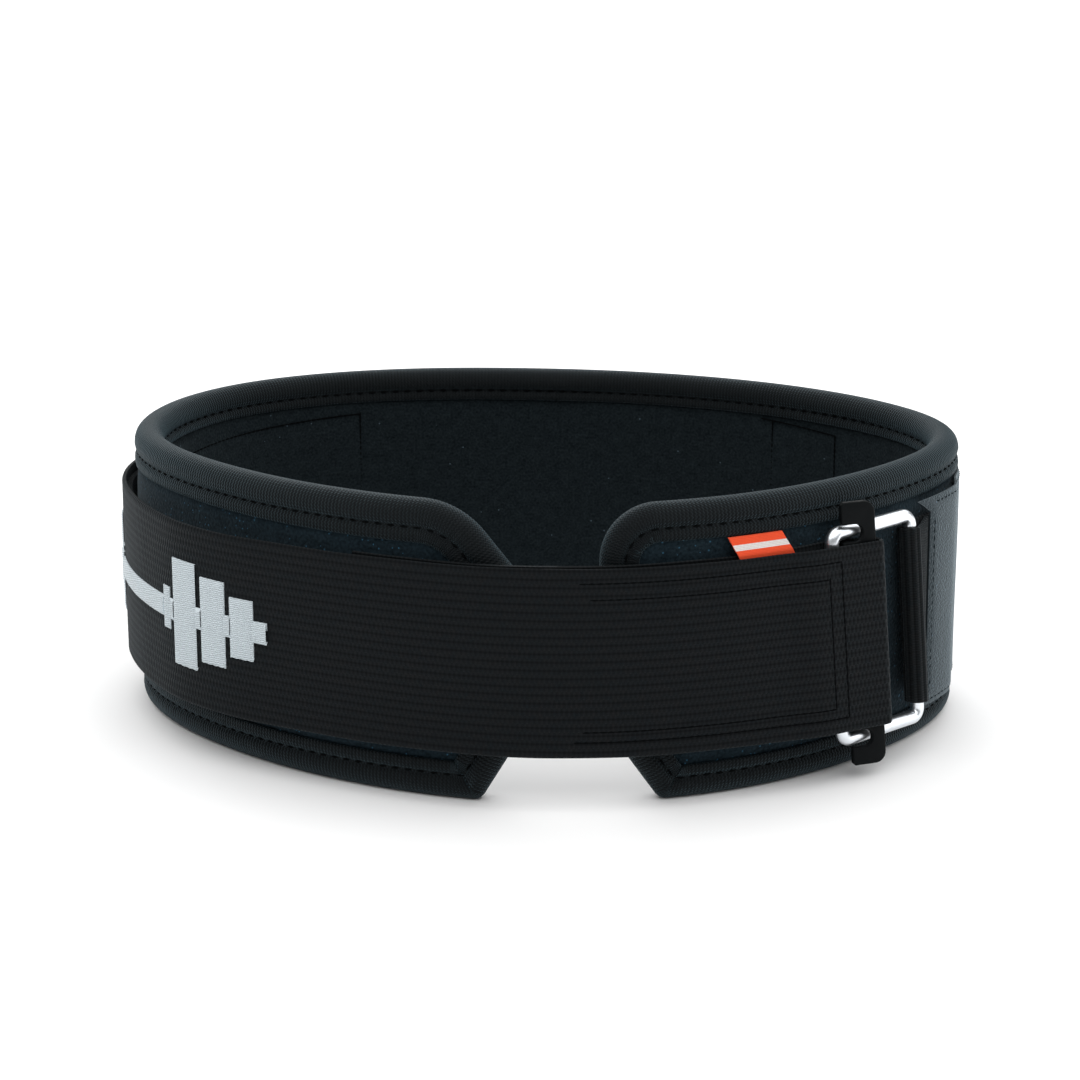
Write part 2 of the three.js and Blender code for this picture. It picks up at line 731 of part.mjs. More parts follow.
const belt = new THREE.Group();
pieces.forEach(({ name, shape, colour, roughness, metalness }) => {
  const mesh = new THREE.Mesh(shape, new THREE.MeshStandardMaterial({ color: colour, roughness, metalness }));
  mesh.name = name;
  belt.add(mesh);
});

// The origin lies on the floor under the middle of the belt
const extent = new THREE.Box3().setFromObject(belt);
const middle = extent.getCenter(new THREE.Vector3());
belt.position.set(-middle.x, -middle.y, -extent.min.z);
belt.updateMatrixWorld(true);

export default belt;
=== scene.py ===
import bisect
import math

import bpy
from mathutils import Matrix, Vector


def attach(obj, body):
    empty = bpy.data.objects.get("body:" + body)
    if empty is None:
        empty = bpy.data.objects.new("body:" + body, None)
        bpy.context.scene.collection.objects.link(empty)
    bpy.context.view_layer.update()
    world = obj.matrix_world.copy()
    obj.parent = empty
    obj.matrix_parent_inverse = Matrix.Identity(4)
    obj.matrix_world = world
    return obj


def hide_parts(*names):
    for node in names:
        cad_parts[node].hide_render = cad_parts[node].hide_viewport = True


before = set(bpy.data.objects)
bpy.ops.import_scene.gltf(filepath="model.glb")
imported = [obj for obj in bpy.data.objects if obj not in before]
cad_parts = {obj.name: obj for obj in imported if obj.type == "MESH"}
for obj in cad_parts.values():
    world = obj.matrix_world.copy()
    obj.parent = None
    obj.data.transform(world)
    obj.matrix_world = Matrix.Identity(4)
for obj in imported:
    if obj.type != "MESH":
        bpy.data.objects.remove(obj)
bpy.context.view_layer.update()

# Lengths below are millimetres, as a maker measures them; pieces are placed in metres.
MM = 0.001

# Padded wall
BELT_HEIGHT = 102
LOOP_WIDTH = 286
LOOP_DEPTH = 213
WALL_HALF = 4.2
LINING_THICKNESS = 1.2
PAD_THICKNESS = 6.9
PAD_BULGE = 0.6
CLEARANCE = 0.3
MIDDLE = BELT_HEIGHT / 2
PLAN_TO_ORIGIN = Vector((0.129, 6.358))

# Ends of the wall
LEFT_TIP = -2
RIGHT_TIP = 21
END_TAPER = 23
END_RADIUS = 28

# Binding tape
TAPE_THICKNESS = 1.0
TAPE_WIDTH_LEFT = 14
TAPE_WIDTH_RIGHT = 12.2
INNER_TAPE_WIDTH = 11.5
TAPE_SEAT = WALL_HALF + CLEARANCE
RIM_HALF = TAPE_SEAT + TAPE_THICKNESS
PAD_EDGE = 5.5
STITCH_PITCH = 4.7
ROLL_DEPTH = 5.4
GROOVE_SHARE = 0.645
INNER_GROOVE = 8

# Strap
STRAP_WIDTH = 64.6
STRAP_THICKNESS = 1.5
STRAP_HALF = STRAP_THICKNESS / 2
STRAP_LOW = MIDDLE - STRAP_WIDTH / 2
STRAP_HIGH = MIDDLE + STRAP_WIDTH / 2
FREE_END = 263
SEWN_END = 60
STRAP_BOW = 6.9
HOOK_THICKNESS = 1.8
HOOK_MARGIN = 3
RIB_PITCH = 2.8
PAD_FACE = WALL_HALF + PAD_BULGE
STRAP_SEAT = RIM_HALF + CLEARANCE

# Stitched box on the strap: back from the fold, down from the top, up from the bottom, length
STRAP_BOX = [(15.3, 5, 5.5, 94), (20.3, 10.5, 9, 86)]

# Buckle
WIRE_RADIUS = 2.4
RING_WIDTH = 44
RING_CORNER = 3.4
RING_CENTRE = 118.3
RING_DROP = 0.6
RAIL_SPAN = RING_WIDTH / 2 - WIRE_RADIUS
RAIL_HEIGHT = STRAP_WIDTH / 2 + 1.2 + WIRE_RADIUS
LEAN_ACROSS = math.tan(math.radians(3))
LEAN_OUT = math.tan(math.radians(3))
LEAN_START = 40
LEAN_RISE = LEAN_OUT * (RAIL_HEIGHT + WIRE_RADIUS)
RAIL_OFFSET = STRAP_SEAT + STRAP_THICKNESS + 2 * CLEARANCE + WIRE_RADIUS + LEAN_RISE
BAR_LENGTH = 92
BAR_WIDTH = 12.4
BAR_THICKNESS = 2.5
BAR_TILT = math.radians(21)
BAR_LIFT = 1.1
BAR_GAP = 1.2
BAR_CORNER = 4

# Anchor loop, panel and tag
ANCHOR_HALF = 0.7
ANCHOR_WIDTH = 62.5
ANCHOR_REACH = 30
ANCHOR_DROP = math.radians(35)
PANEL_START = 12.5
PANEL_LENGTH = 104
PANEL_RAMP = 14
PANEL_WING = 8
PANEL_WING_REACH = 16
PANEL_WING_HEIGHT = 5
TAG_CENTRE = 72
TAG_WIDTH = 19.5
TAG_HEIGHT = 7.6
TAG_SLANT = 3

# Embroidery
EMBLEM_START = 90
EMBLEM_LENGTH = 145
EMBLEM_HEIGHT = 38

# Seams of the lining: from and to along the wall, heights of their ends
LINING_LINES = [
    (461.5, 461.5, 14, 86), (461.5, 556, 86, 81.5), (292, 292, 14, 88),
    (263, 263, 14, 86.5), (263, 296, 86.5, 89),
]
LINING_SEAMS = [263, 292, 461.5]

# Control points of the closed plan curve, as shares of half the width and half the depth
PLAN_SHAPE = [
    (-0.01, -1.07), (0.42, -0.98), (0.81, -0.63), (1.13, 0), (0.79, 0.61), (0.35, 0.88),
    (0.02, 0.96), (-0.42, 0.98), (-0.89, 0.7), (-1.06, 0), (-0.73, -0.58), (-0.4, -0.89),
]

# Corners of the flat wall: on the left end, distance in from the tip, height, fillet
WALL_CORNERS = [
    (False, 0.88, 0, 0.14), (True, 0.7, 0, 0.14), (True, 0, 0.265, 0.21), (True, 0, 0.73, 0.36),
    (True, 1, 1, 1), (False, 0, 1, 0.68), (False, 0, 0.285, 0.21),
]

# Outer run of the strap: share of its way, sewn run below, bow
LEFT_RUN = [
    (-1, 0, 0), (-0.89, 0, 0.07), (-0.78, 0, 0.22), (-0.67, 0, 0.3), (-0.58, 0, 0.61), (-0.49, 0, 1),
    (-0.41, 0, 0.91), (-0.32, 0, 0.57), (-0.23, 1, 0.04), (-0.12, 1, 0), (0, 1, 0),
]
RIGHT_RUN = [(0.25, 1, 0), (0.5, 1, 0), (0.72, 1, 0), (0.82, 1, 0.1), (0.92, 1, 0.4)]

# Barbell figure from one end to its middle: from, to, height
EMBLEM_SHAPE = [
    (0, 0.035, 0.2), (0.035, 0.1, 0.56), (0.1, 0.115, 0.2), (0.115, 0.19, 0.8), (0.19, 0.205, 0.2),
    (0.205, 0.29, 1), (0.29, 0.305, 0.2), (0.305, 0.335, 0.4), (0.335, 0.5, 0.2),
]


def smooth(value, low, high):
    share = min(max((value - low) / (high - low), 0), 1)
    return share * share * (3 - 2 * share)


def spread(first, last, spacing):
    count = max(1, math.ceil(abs(last - first) / spacing))
    return [first + (last - first) * step / count for step in range(count + 1)]


# Plan curve

def plan_at(share):
    count = len(PLAN_SHAPE)
    first = math.floor(share * count)
    u = share * count - first
    weights = [(1 - u) ** 3, 3 * u ** 3 - 6 * u ** 2 + 4, -3 * u ** 3 + 3 * u ** 2 + 3 * u + 1, u ** 3]
    slopes = [-((1 - u) ** 2), 3 * u ** 2 - 4 * u, -3 * u ** 2 + 2 * u + 1, u ** 2]
    point = Vector((0, 0))
    heading = Vector((0, 0))
    for step in range(4):
        side, away = PLAN_SHAPE[(first + step - 1) % count]
        control = Vector((side * LOOP_WIDTH / 2, away * LOOP_DEPTH / 2))
        point += control * (weights[step] / 6)
        heading += control * slopes[step]
    heading.normalize()
    return point, Vector((heading.y, -heading.x))


PLAN_SAMPLES = 1560
plan = [plan_at((step % PLAN_SAMPLES) / PLAN_SAMPLES) for step in range(PLAN_SAMPLES + 1)]
lengths = [0.0]
for here, there in zip(plan, plan[1:]):
    lengths.append(lengths[-1] + (there[0] - here[0]).length)
LOOP_LENGTH = lengths[-1]
BODY_START = RIGHT_TIP
BODY_END = LOOP_LENGTH + LEFT_TIP


def wall_frame(along):
    length = along % LOOP_LENGTH
    low = min(bisect.bisect_right(lengths, length) - 1, PLAN_SAMPLES - 1)
    share = (length - lengths[low]) / (lengths[low + 1] - lengths[low])
    point = plan[low][0].lerp(plan[low + 1][0], share)
    normal = plan[low][1].lerp(plan[low + 1][1], share).normalized()
    return point, normal


def wall_point(along, offset):
    point, normal = wall_frame(along)
    return point + normal * offset


def placed(point, height):
    return Vector(((point.x + PLAN_TO_ORIGIN.x) * MM, (point.y + PLAN_TO_ORIGIN.y) * MM, height * MM))


def tape_width(along):
    share = min(max((along - BODY_START) / (BODY_END - BODY_START), 0), 1)
    return TAPE_WIDTH_RIGHT + (TAPE_WIDTH_LEFT - TAPE_WIDTH_RIGHT) * share


def arc(across, level, radius, first, last, swing):
    return [(across + radius * math.cos(angle), level + radius * math.sin(angle))
            for angle in spread(first, last, swing)]


# Mesh pieces

def deselect():
    if bpy.context.object and bpy.context.object.mode != "OBJECT":
        bpy.ops.object.mode_set(mode="OBJECT")
    bpy.ops.object.select_all(action="DESELECT")


def edit_all(piece):
    """Edit mode on one piece, all of it selected."""
    deselect()
    piece.select_set(True)
    bpy.context.view_layer.objects.active = piece
    bpy.ops.object.mode_set(mode="EDIT")
    bpy.ops.mesh.select_all(action="SELECT")


def net(name, places, flats, material, closed_round=False, closed_along=False, angle=40):
    """A grid shaped to rows of places, with its flat pattern kept as the UV map."""
    deselect()
    columns = len(places)
    rows = len(places[0])
    bpy.ops.mesh.primitive_grid_add(x_subdivisions=columns - 1, y_subdivisions=rows - 1, size=1)
    piece = bpy.context.object
    piece.name = piece.data.name = name
    mesh = piece.data
    spot = []
    for vertex in mesh.vertices:
        column = round((vertex.co.x + 0.5) * (columns - 1))
        row = round((vertex.co.y + 0.5) * (rows - 1))
        spot.append((column, row))
        vertex.co = places[column][row]
    layer = mesh.uv_layers.active or mesh.uv_layers.new()
    for loop in mesh.loops:
        column, row = spot[loop.vertex_index]
        u, v = flats[column][row]
        layer.data[loop.index].uv = (u * MM, v * MM)
    edit_all(piece)
    if closed_round or closed_along:
        bpy.ops.mesh.remove_doubles(threshold=1e-6)
    if closed_round and not closed_along:
        bpy.ops.mesh.select_all(action="DESELECT")
        bpy.ops.mesh.select_non_manifold()
        bpy.ops.mesh.fill()
    bpy.ops.mesh.select_all(action="SELECT")
    bpy.ops.mesh.normals_make_consistent(inside=False)
    bpy.ops.object.mode_set(mode="OBJECT")
    bpy.ops.object.shade_smooth_by_angle(angle=math.radians(angle))
    finish_piece(piece, material)
    return piece


def close_row(column, flat, places, flats):
    """A row that ends where it began, added to its net."""
    places.append(column + column[:1])
    flats.append(flat + flat[:1])


def finish_piece(piece, material):
    piece.data.materials.clear()
    piece.data.materials.append(material)
    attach(piece, "root")


# Rim of the flat wall: stations that give their place, along and height, at a depth in from the rim

PLEATS = {}


def rim_stations(spacing, swing):
    corners = []
    for left, inward, height, fillet in WALL_CORNERS:
        along = BODY_END - inward * END_TAPER if left else BODY_START + inward * END_TAPER
        corners.append({"vertex": Vector((along, height * BELT_HEIGHT)), "radius": fillet * END_RADIUS})
    count = len(corners)
    for index, corner in enumerate(corners):
        corner["coming"] = (corner["vertex"] - corners[index - 1]["vertex"]).normalized()
        corner["going"] = (corners[(index + 1) % count]["vertex"] - corner["vertex"]).normalized()
        corner["turn"] = math.acos(corner["coming"].dot(corner["going"]))
        corner["reach"] = max(corner["radius"], TAPE_WIDTH_LEFT + 0.4) * math.tan(corner["turn"] / 2)
    stations = []
    for index, corner in enumerate(corners):
        vertex, coming, going, turn = (corner[key] for key in ("vertex", "coming", "going", "turn"))
        first_in = Vector((-coming.y, coming.x))
        last_in = Vector((-going.y, going.x))
        middle_in = (first_in + last_in).normalized()
        for step, angle in enumerate(spread(0, turn, swing)):
            inward = Matrix.Rotation(angle, 2) @ first_in
            station = fillet_station(vertex, middle_in, inward, corner["radius"], turn)
            PLEATS[station] = 0.42 * (-1) ** step * math.sin(math.pi * angle / turn)
            stations.append(station)
        following = corners[(index + 1) % count]
        first = corner["reach"] + 1
        last = (following["vertex"] - vertex).length - following["reach"] - 1
        for length in spread(first, last, spacing):
            stations.append(straight_station(vertex + going * length, last_in))
    return stations


def fillet_station(vertex, middle_in, inward, fillet, turn):
    def station(depth):
        radius = max(fillet - depth, 0.4)
        return vertex + middle_in * ((depth + radius) / math.cos(turn / 2)) - inward * radius
    return station


def straight_station(start, inward):
    return lambda depth: start + inward * depth


RIM = rim_stations(2.35, math.radians(6))


def on_wall(place, offset):
    return placed(wall_point(place.x, offset), place.y)


def binding_profile(width, groove):
    """Depth and offset of the tape on one face: rolled edge, stitched groove, flap and cut edge."""
    roll = []
    for step in range(1, 9):
        angle = step * math.pi / 16
        roll.append((ROLL_DEPTH * (1 - math.cos(angle) ** 1.15), RIM_HALF * math.sin(angle) ** 0.92))
    roll += [(groove - 2.2, RIM_HALF - 0.05), (groove - 1.2, RIM_HALF - 0.35), (groove - 0.5, RIM_HALF - 0.95)]
    flap = [
        (groove, RIM_HALF - 1.15), (groove + 0.5, RIM_HALF - 0.85), (groove + 1.2, RIM_HALF - 0.25),
        (groove + 2.1, RIM_HALF + 0.05), (width - 1, RIM_HALF + 0.02), (width - 0.3, RIM_HALF - 0.12),
        (width, RIM_HALF - 0.4), (width, TAPE_SEAT),
    ]
    return roll + flap


def rim_lengths(stations, depth, offset):
    places = [on_wall(station(depth), offset) for station in stations]
    run = [0.0]
    for here, there in zip(places, places[1:] + places[:1]):
        run.append(run[-1] + (there - here).length / MM)
    return run


def bind_edge(material):
    run = rim_lengths(RIM, 0, 0)
    places, flats = [], []
    for index, station in enumerate(RIM + RIM[:1]):
        along = station(0).x
        width = tape_width(along)
        outer = binding_profile(width, width * GROOVE_SHARE)
        inner = [(depth, -offset) for depth, offset in binding_profile(INNER_TAPE_WIDTH, INNER_GROOVE)]
        pucker = 0.24 * math.cos(2 * math.pi * run[index] / STITCH_PITCH)
        drift = 0.16 * math.sin(run[index] / 23) + 0.1 * math.sin(run[index] / 9.1 + 1)
        section = [(0, 0)] + outer + [(5.3, TAPE_SEAT), (5.3, -TAPE_SEAT)] + inner[::-1] + [(0, 0)]
        column, flat = [], []
        girth = 0
        before = None
        for depth, offset in section:
            near = max(0, 1 - abs(abs(depth) - 8.6) / 4)
            side = 1 if offset > 0 else -1
            pleat = PLEATS.get(station, 0) * smooth(depth, 3.5, 8.5)
            soft = (drift * min(depth / 6, 1) + pleat) * (abs(offset) > TAPE_SEAT + 0.3)
            shifted = offset + side * (pucker * near + soft)
            column.append(on_wall(station(depth), shifted))
            if before:
                girth += math.hypot(depth - before[0], offset - before[1])
            before = (depth, offset)
            flat.append((run[index], girth))
        places.append(column)
        flats.append(flat)
    return net("edge_binding_tape", places, flats, material,
               closed_round=True, closed_along=True, angle=60)


# Stitches

def sewn(name, lines, length, radius, pitch, material):
    """Lockstitches along lines of places with their outward directions, one stitch copied along them."""
    deselect()
    bpy.ops.mesh.primitive_uv_sphere_add(segments=6, ring_count=4, radius=1)
    pattern = bpy.context.object
    shape = [vertex.co.copy() for vertex in pattern.data.vertices]
    faces = [list(face.vertices) for face in pattern.data.polygons]
    bpy.data.objects.remove(pattern)
    corners, sides = [], []
    for line in lines:
        travelled = pitch / 2
        for (here, out), (there, _) in zip(line, line[1:]):
            way = (there - here) / MM
            span = way.length
            if span == 0:
                continue
            while travelled <= span:
                heading = way.normalized()
                rise = (out - heading * out.dot(heading)).normalized()
                across = heading.cross(rise)
                centre = here + way * (travelled / span) * MM
                start = len(corners)
                for corner in shape:
                    bow = rise * (corner.z * radius * 0.7 - abs(corner.x) ** 2 * radius * 0.9)
                    shift = heading * corner.x * length / 2 + across * corner.y * radius + bow
                    corners.append(centre + shift * MM)
                sides += [[start + index for index in face] for face in faces]
                travelled += pitch
            travelled -= span
    mesh = bpy.data.meshes.new(name)
    mesh.from_pydata(corners, [], sides)
    piece = bpy.data.objects.new(name, mesh)
    bpy.context.collection.objects.link(piece)
    edit_all(piece)
    bpy.ops.mesh.normals_make_consistent(inside=False)
    bpy.ops.object.mode_set(mode="OBJECT")
    bpy.ops.object.shade_smooth()
    finish_piece(piece, material)
    return piece


def out_at(along, side=1):
    normal = wall_frame(along)[1] * side
    return Vector((normal.x, normal.y, 0))


def sew_binding(material):
    outer, inner = [], []
    for station in RIM + RIM[:1]:
        groove = tape_width(station(0).x) * GROOVE_SHARE
        place = station(groove)
        outer.append((on_wall(place, RIM_HALF - 0.9), out_at(place.x)))
        place = station(INNER_GROOVE)
        inner.append((on_wall(place, -RIM_HALF + 0.9), out_at(place.x, -1)))
    sewn("binding_stitches", [outer, inner], 3.4, 0.43, STITCH_PITCH, material)


def sew_lining(material):
    lines = []
    for start, end, low, high in LINING_LINES:
        line = []
        for step in range(41):
            along = start + (end - start) * step / 40
            height = low + (high - low) * step / 40
            line.append((placed(wall_point(along, -WALL_HALF - PAD_BULGE - 0.28), height), out_at(along, -1)))
        lines.append(line)
    sewn("lining_seams", lines, 2.9, 0.34, 2.2, material)


# Wall layers

OUTLINE = [station(PAD_EDGE) for station in RIM]


def wall_heights(along):
    heights = []
    for here, there in zip(OUTLINE, OUTLINE[1:] + OUTLINE[:1]):
        if abs(here.x - along) < 0.001:
            heights.append(here.y)
        elif (here.x - along) * (there.x - along) < 0:
            heights.append(here.y + (there.y - here.y) * (along - here.x) / (there.x - here.x))
    return min(heights), max(heights)


def lay_wall(name, back, face, swell, tape, seams, material):
    """A padded layer, taut under the tape and swelling between its edges, with soft waves and sewn dips."""
    first = min(point.x for point in OUTLINE) + 0.01
    last = max(point.x for point in OUTLINE) - 0.01
    stops = spread(first, first + 40, 1.5)[:-1] + spread(first + 40, last - 40, 3.2)
    stops += spread(last - 40, last, 1.5)[1:]
    side = 1 if face > 0 else -1
    places, flats = [], []
    for along in stops:
        low, high = wall_heights(along)
        edge = tape(along) - PAD_EDGE
        tall = high - low
        thin = smooth(min(along - first, last - along), 40, 62)
        levels = [low, low + min(edge, tall * 0.3)]
        inner_low, inner_high = levels[1], high - min(edge, tall * 0.3)
        levels += [inner_low + (inner_high - inner_low) * share for share in
                   (0.02, 0.05, 0.1, 0.18, 0.3, 0.4, 0.5, 0.6, 0.7, 0.82, 0.9, 0.95, 0.98)]
        levels += [inner_high, high]
        column, flat = [], []
        for row, height in enumerate(levels):
            share = (height - inner_low) / max(inner_high - inner_low, 0.01)
            crown = max(0, 1 - abs(2 * min(max(share, 0), 1) - 1) ** 6)
            wave = 0.12 * math.sin(along / 13 + height / 17) + 0.08 * math.sin(along / 7.3 - height / 11)
            dip = sum(math.exp(-((along - seam) / 1.8) ** 2) for seam in seams) * 0.35
            rise = crown * ((swell + 0.35) * thin + 0.1 + wave * thin - dip) - 0.12 * (1 - crown)
            column.append(placed(wall_point(along, face + side * rise), height))
            flat.append((along, height))
        for height in levels[::-1][::4] + [low]:
            column.append(placed(wall_point(along, back), height))
            flat.append((along, height))
        close_row(column, flat, places, flats)
    return net(name, places, flats, material, closed_round=True, angle=50)


# Frame of the ring in plan

NEAR_ALONG = RING_CENTRE - RAIL_SPAN
FAR_ALONG = RING_CENTRE + RAIL_SPAN
RING_START = wall_point(NEAR_ALONG, RAIL_OFFSET)
RING_WAY = (wall_point(FAR_ALONG, RAIL_OFFSET) - RING_START).normalized()
RING_OUT = Vector((RING_WAY.y, -RING_WAY.x))
RING_MIDDLE = (RING_START + wall_point(FAR_ALONG, RAIL_OFFSET)) / 2


def ring_place(way, out):
    return RING_MIDDLE + RING_WAY * way + RING_OUT * out


def turned(vector, angle):
    return Matrix.Rotation(angle, 2) @ vector


BAR_NEAR = ring_place(WIRE_RADIUS + BAR_GAP - RAIL_SPAN, BAR_LIFT)
BAR_WAY = turned(RING_WAY, -BAR_TILT)
BAR_OUT = turned(RING_OUT, -BAR_TILT)
BAR_FAR = BAR_NEAR + BAR_WAY * BAR_WIDTH


def lean_at(along):
    return smooth(along, LEAN_START, NEAR_ALONG)


def leaned(point, height, share=1):
    drop = (MIDDLE - height) * share
    return placed(point + RING_WAY * (drop * LEAN_ACROSS) + RING_OUT * (drop * LEAN_OUT), height)


def run_rows():
    rows = []
    for shape, reach in ((LEFT_RUN, FREE_END), (RIGHT_RUN, NEAR_ALONG)):
        for share, doubled, bow in shape:
            below = STRAP_SEAT + STRAP_THICKNESS if doubled else PAD_FACE
            stack = below + 2 * CLEARANCE + HOOK_THICKNESS + STRAP_HALF
            along = share * reach
            rows.append((along, stack + bow * STRAP_BOW + LEAN_RISE * lean_at(along)))
    rows.append((NEAR_ALONG, RAIL_OFFSET + WIRE_RADIUS + 2 * CLEARANCE + STRAP_HALF))
    return rows


RUN_ROWS = run_rows()


def outer_run(along):
    last = len(RUN_ROWS) - 1
    found = next((index for index, row in enumerate(RUN_ROWS) if row[0] >= along), last)
    index = min(max(found, 1), last)
    before, start, end, after = (RUN_ROWS[min(max(index + step, 0), last)] for step in (-2, -1, 0, 1))
    span = end[0] - start[0]
    u = (along - start[0]) / span
    start_slope = (end[1] - before[1]) / (end[0] - before[0]) * span
    end_slope = (after[1] - start[1]) / (after[0] - start[0]) * span
    return ((2 * u ** 3 - 3 * u ** 2 + 1) * start[1] + (u ** 3 - 2 * u ** 2 + u) * start_slope
            + (3 * u ** 2 - 2 * u ** 3) * end[1] + (u ** 3 - u ** 2) * end_slope)


def run_stops(first, last, offset_at, spacing=2.5):
    return [(wall_point(along, offset_at(along)), lean_at(along)) for along in spread(first, last, spacing)]


def even(stops, spacing=2.5):
    """Long steps between stops filled in, so the weave keeps its scale."""
    filled = [stops[0]]
    for point, lean in stops[1:]:
        before, start_lean = filled[-1]
        count = max(1, math.ceil((point - before).length / spacing))
        for step in range(1, count + 1):
            share = step / count
            filled.append((before.lerp(point, share), start_lean + (lean - start_lean) * share))
    return filled


def band(name, stops, section, material, angle=50, shape=None, ribs_across=False):
    """Webbing along its stops, with a closed section of distances and heights."""
    places, flats = [], []
    travelled = 0
    for index, (point, lean) in enumerate(stops):
        before = stops[max(index - 1, 0)][0]
        after = stops[min(index + 1, len(stops) - 1)][0]
        heading = (after - before).normalized()
        side = Vector((heading.y, -heading.x))
        if index:
            travelled += (point - stops[index - 1][0]).length
        column, flat = [], []
        for distance, height in section:
            moved, level = shape(travelled, distance, height) if shape else (distance, height)
            column.append(leaned(point + side * moved, level, lean))
            flat.append((height, travelled) if ribs_across else (travelled, height))
        places.append(column)
        flats.append(flat)
    return net(name, places, flats, material, closed_round=True, angle=angle)


def ribbed_section(width, half, pitch, depth, back_rows=8):
    """Section of webbing with ribs along one face, a plain back and rounded selvedges."""
    low, high = MIDDLE - width / 2, MIDDLE + width / 2
    count = round(width / pitch)
    face = [(0, low)]
    for step in range(count * 4 + 1):
        height = low + 0.25 + (width - 0.5) * step / (count * 4)
        rib = math.cos(2 * math.pi * step / 4) * 0.5 + 0.5
        face.append((half - depth * rib - (0.25 if step in (0, count * 4) else 0), height))
    face.append((0, high))
    back = [(-half, low + 0.3 + (width - 0.6) * step / back_rows) for step in range(back_rows, -1, -1)]
    return face + back + [face[0]]


def strap_stops():
    radius = BAR_THICKNESS / 2 + CLEARANCE + STRAP_HALF
    fold = [(BAR_FAR + turned(BAR_OUT * radius, swing), 1) for swing in spread(0, math.pi, math.pi / 12)]
    under = ring_place(WIRE_RADIUS - RAIL_SPAN, -WIRE_RADIUS - 2 * CLEARANCE - STRAP_HALF)
    inner = run_stops(NEAR_ALONG, -SEWN_END, lambda along: STRAP_SEAT + STRAP_HALF + LEAN_RISE * lean_at(along))
    return even(run_stops(-FREE_END, NEAR_ALONG, outer_run) + fold + [(under, 1)] + inner)


def weave_strap(material):
    def shape(travelled, distance, height):
        edge = 0.25 * math.sin(travelled / 31) + 0.12 * math.sin(travelled / 7.7 + height)
        ripple = 0.1 * math.sin(travelled / 17 + height / 9) if 4 < travelled < 340 else 0
        share = abs(height - MIDDLE) / (STRAP_WIDTH / 2)
        return distance + ripple * (1 - share), height + edge * share * 0.6
    section = ribbed_section(STRAP_WIDTH, STRAP_HALF, RIB_PITCH, 0.035)
    band("closing_strap_webbing", strap_stops(), section, material, shape=shape)


def sew_strap(material):
    """Stitched box near the fold: two uprights and the long lines that run back from them."""
    radius = BAR_THICKNESS / 2 + CLEARANCE + STRAP_HALF
    fold_start = BAR_FAR + BAR_OUT * radius
    stops = even(run_stops(NEAR_ALONG - 110, NEAR_ALONG, outer_run) + [(fold_start, 1)], 1.5)
    reach = [0.0]
    for (here, _), (there, _) in zip(stops, stops[1:]):
        reach.append(reach[-1] + (there - here).length)
    total = reach[-1]

    def on_face(back, height):
        target = total - back
        index = min(max(bisect.bisect_right(reach, target) - 1, 0), len(stops) - 2)
        share = (target - reach[index]) / (reach[index + 1] - reach[index])
        (here, lean), (there, _) = stops[index], stops[index + 1]
        heading = (there - here).normalized()
        side = Vector((heading.y, -heading.x))
        spot = here.lerp(there, share) + side * (STRAP_HALF - 0.02)
        return leaned(spot, height, lean), Vector((side.x, side.y, 0))

    lines = []
    for back, top, bottom, length in STRAP_BOX:
        high, low = STRAP_HIGH - top, STRAP_LOW + bottom
        lines.append([on_face(back, height) for height in spread(low, high, 2)])
        lines.append([on_face(along, high) for along in spread(back, back + length, 2)])
        lines.append([on_face(along, low) for along in spread(back, back + length, 2)])
    sewn("strap_stitches", lines, 4.4, 0.34, 2.7, material)


def lay_hooks(material):
    stops = run_stops(-FREE_END + CLEARANCE, NEAR_ALONG - 4 * WIRE_RADIUS, outer_run)
    face = -STRAP_HALF - CLEARANCE
    low, high = STRAP_LOW + HOOK_MARGIN, STRAP_HIGH - HOOK_MARGIN
    rows = spread(low + 0.4, high - 0.4, 8)
    section = [(face - 0.5, low)] + [(face, height) for height in rows] + [(face - 0.5, high)]
    section += [(face - HOOK_THICKNESS, height) for height in rows[::-1]]
    band("hook_layer", stops, section + [section[0]], material)


# Buckle

def bend_ring(material):
    across, up = RAIL_SPAN - RING_CORNER, RAIL_HEIGHT - RING_CORNER
    path = []
    for quarter, (way, rise) in enumerate(((1, 1), (-1, 1), (-1, -1), (1, -1))):
        start = quarter * math.pi / 2
        bend = arc(way * across, rise * up, RING_CORNER, start, start + math.pi / 2, math.pi / 20)
        swings = spread(start, start + math.pi / 2, math.pi / 20)
        corner = [(*spot, angle) for spot, angle in zip(bend, swings)]
        if path:
            first, last = path[-1], corner[0]
            path += [tuple(a + (b - a) * step / 8 for a, b in zip(first, last)) for step in range(1, 8)]
        path += corner
    places, flats = [], []
    for index, (way, rise, angle) in enumerate(path + path[:1]):
        column = []
        for turn in spread(0, 2 * math.pi, math.pi / 14):
            out = WIRE_RADIUS * math.cos(turn)
            height = MIDDLE - RING_DROP + rise + out * math.sin(angle)
            column.append(leaned(ring_place(way + out * math.cos(angle), WIRE_RADIUS * math.sin(turn)), height))
        places.append(column)
        flats.append([(index * 3, step) for step in range(len(column))])
    return net("buckle_wire", places, flats, material,
               closed_round=True, closed_along=True, angle=80)


